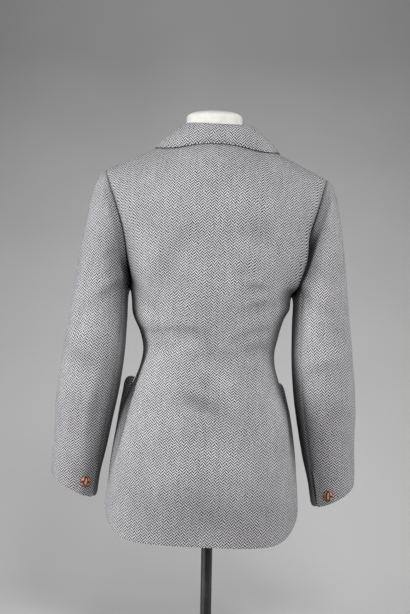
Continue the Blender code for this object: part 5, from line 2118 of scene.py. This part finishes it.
@dataclass
class Jacket:
    """All the jacket's pieces, built, dressed and entered in the part."""

    front_button_radius: float = 0.0115
    cuff_button_radius: float = 0.0088
    front_button_gap: float = 0.0003
    slope_step: float = 0.01
    front_buttons: tuple[tuple[str, float], ...] = (("top", 0.600), ("middle", 0.510), ("low", 0.420))

    def build(self) -> None:
        """Cloth first, then the buttons on it."""
        wool = HerringboneWool().make()
        fronts = {side: FrontPanel(side).surface() for side in Side}
        for side in Side:
            other = Side.RIGHT if side is Side.LEFT else Side.LEFT
            crossed = tuple(part * MIRRORED for part in fronts[other])
            top, under = Sleeve(side).shells()
            pieces = {
                "back": BackPanel(side).shell(),
                "front": FrontPanel(side).shell(),
                "sleeve_top": top,
                "sleeve_under": under,
                "lapel": Lapel(side).shell(fronts[side], crossed),
                "pocket": Pocket(side).shell(),
            }
            for kind, shell in pieces.items():
                self.enter_cloth(shell, kind + "_" + side.label, wool)
        beds = (BackPanel(Side.LEFT).surface(), fronts[Side.LEFT])
        self.enter_cloth(Collar().shell(beds), "collar", wool)
        self.build_buttons()

    def enter_cloth(self, shell: Shell, node: str, finish: bpy.types.Material) -> None:
        """Builds a cloth piece, enters it in the part and logs its area of cloth.

        Args:
            shell: the piece's wall.
            node: the solid that it stands for.
            finish: its material.
        """
        thing = shell.build()
        enter(thing, node, finish)
        log.info("%s: %.4f square metres of cloth", thing.name, shell.area)

    def build_buttons(self) -> None:
        """A button on each cuff, and three on the front edge."""
        leather = PlaitedLeather().make()
        for side in Side:
            seat, facing = Sleeve(side).button_seat()
            button = KnotButton("leather_cuff_button_" + side.label, self.cuff_button_radius, seat, facing)
            enter(button.build(), "cuff_button_" + side.label, leather)
        for name, height in self.front_buttons:
            near = BODY.rings.at("front", height + self.slope_step * np.array((-1.0, 1.0)))
            facing = unit(np.array((0.0, -1.0, -(near[1] - near[0]) / (2.0 * self.slope_step))))
            seat = BODY.ring(np.array(math.pi), np.array(height))
            seat = seat + facing * (BODY.lap_lift(np.array(0.0)) + self.front_button_gap)
            button = KnotButton("leather_front_button_" + name, self.front_button_radius, seat, facing)
            enter(button.build(), "front_button_" + name, leather)


def enter(thing: bpy.types.Object, node: str, finish: bpy.types.Material) -> None:
    """Enters a piece in the part: it rides on the body, stands for a solid and takes a finish.

    Args:
        thing: the piece.
        node: the solid that it stands for.
        finish: its material.
    """
    thing.data.materials.append(finish)
    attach(thing, "root")
    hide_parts(node)
    log.info("%s stands for %s with %d faces", thing.name, node, len(thing.data.polygons))


@dataclass(frozen=True)
class Lamp:
    """A square soft lamp: where it stands, what it looks at, its width, its power and its beam's angle."""

    name: str
    place: Triple
    aim: Triple
    size: float
    watts: float
    spread: float = 180.0

    def build(self) -> None:
        """Adds the lamp to the scene, turned towards its aim."""
        data = bpy.data.lights.new(self.name, "AREA")
        data.shape = "SQUARE"
        data.size = self.size
        data.energy = self.watts
        data.spread = math.radians(self.spread)
        lamp = bpy.data.objects.new(self.name, data)
        back = unit(np.array(self.place) - np.array(self.aim))
        right = unit(np.cross(np.array((0.0, 0.0, 1.0)), back))
        lamp.matrix_world = axes(right, np.cross(back, right), back, self.place)
        bpy.context.scene.collection.objects.link(lamp)


@dataclass
class Studio:
    """Paper sweep, soft lights and the camera behind the jacket."""

    distance: float = 2.8
    eye: float = 0.6415
    pixels_per_metre: float = 1.0 / 0.0018
    roll: float = math.radians(1.04)
    centre: tuple[float, float] = (211.26, 300.0)
    sweep_near: float = 4.5
    sweep_far: float = -0.4
    sweep_bend: float = 2.4
    sweep_height: float = 4.5
    sweep_half: float = 4.5
    sweep_points: int = 25
    sensor: float = 36.0
    room_light: float = 0.02
    lamps: tuple[Lamp, ...] = (
        Lamp("left_softbox", (2.4, 1.10, 0.75), (0.0, 0.0, 0.48), 1.0, 12.0, 70.0),
        Lamp("right_softbox", (-2.6, 0.45, 1.0), (0.0, 0.0, 0.50), 1.0, 6.0, 70.0),
        Lamp("camera_softbox", (-0.45, 2.3, 1.85), (0.0, 0.0, 0.68), 0.8, 8.6, 70.0),
        Lamp("paper_softbox", (0.0, -1.0, 2.3), (0.0, -2.9, 1.2), 1.2, 64.0),
    )

    def backdrop(self) -> None:
        """Floor and backdrop in one sheet: a straight floor, a quarter circle, and a straight wall."""
        turn = np.linspace(0.0, math.pi / 2.0, self.sweep_points)
        y = np.concatenate(((self.sweep_near,), self.sweep_far - self.sweep_bend * np.sin(turn),
                            (self.sweep_far - self.sweep_bend,)))
        z = np.concatenate(((0.0,), self.sweep_bend * (1.0 - np.cos(turn)), (self.sweep_height,)))
        x = np.array((self.sweep_half, -self.sweep_half))
        points = np.stack(np.broadcast_arrays(x[None, :], y[:, None], z[:, None]), axis=-1).reshape(-1, 3)
        first = 2 * np.arange(len(y) - 1)
        faces = np.stack((first, first + 1, first + 3, first + 2), axis=-1)
        paper = mesh_object("studio_sweep", points, faces.tolist())
        paper.data.materials.append(PaperBackdrop().make())
        log.info("studio sweep laid")

    def light(self) -> None:
        """Softboxes at both sides, over the camera and on the paper, in a dim room."""
        for lamp in self.lamps:
            lamp.build()
        world = bpy.data.worlds.new("soft_room")
        world.use_nodes = True
        background = world.node_tree.nodes["Background"].inputs
        background["Color"].default_value = colour(1.0, 1.0, 1.0)
        background["Strength"].default_value = self.room_light
        bpy.context.scene.world = world
        bpy.context.scene.view_settings.view_transform = "Standard"

    def camera(self) -> None:
        """The camera behind the jacket, rolled a little, shifted to where its axis meets the picture."""
        data = bpy.data.cameras.new("photo_camera")
        focal = self.distance * self.pixels_per_metre
        data.sensor_width = self.sensor
        data.lens = data.sensor_width * focal / IMAGE_HEIGHT
        data.shift_x = -(self.centre[0] - IMAGE_WIDTH / 2.0) / IMAGE_HEIGHT
        data.shift_y = (self.centre[1] - IMAGE_HEIGHT / 2.0) / IMAGE_HEIGHT
        camera = bpy.data.objects.new("photo_camera", data)
        across, up = np.array((-1.0, 0.0, 0.0)), np.array((0.0, 0.0, 1.0))
        right = across * math.cos(self.roll) + up * math.sin(self.roll)
        above = up * math.cos(self.roll) - across * math.sin(self.roll)
        camera.matrix_world = axes(right, above, np.array((0.0, 1.0, 0.0)), (0.0, self.distance, self.eye))
        bpy.context.scene.collection.objects.link(camera)
        bpy.context.scene.camera = camera

    def build(self) -> None:
        """Camera, lights and sweep."""
        self.camera()
        self.light()
        self.backdrop()


def axes(right: Array, above: Array, back: Array, place: Sequence[float]) -> Matrix:
    """Placing matrix from three axes and a point.

    Args:
        right: the thing's own x axis.
        above: its y axis.
        back: its z axis.
        place: where it stands.

    Returns:
        The matrix.
    """
    table = np.eye(4)
    table[:3, 0], table[:3, 1], table[:3, 2], table[:3, 3] = right, above, back, place
    return Matrix(table.tolist())


def main() -> None:
    """Builds the stand, the jacket and the studio."""
    logging.basicConfig(level=logging.INFO, format="%(name)s: %(message)s")
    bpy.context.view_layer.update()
    Studio().build()
    form = DressForm()
    paint = BlackPaint().make()
    enter(form.body(), "form_body", FormJersey().make())
    enter(form.pole(), "form_pole", paint)
    enter(form.base(), "form_base", paint)
    Jacket().build()
    bpy.context.view_layer.update()


if __name__ == "__main__":
    main()
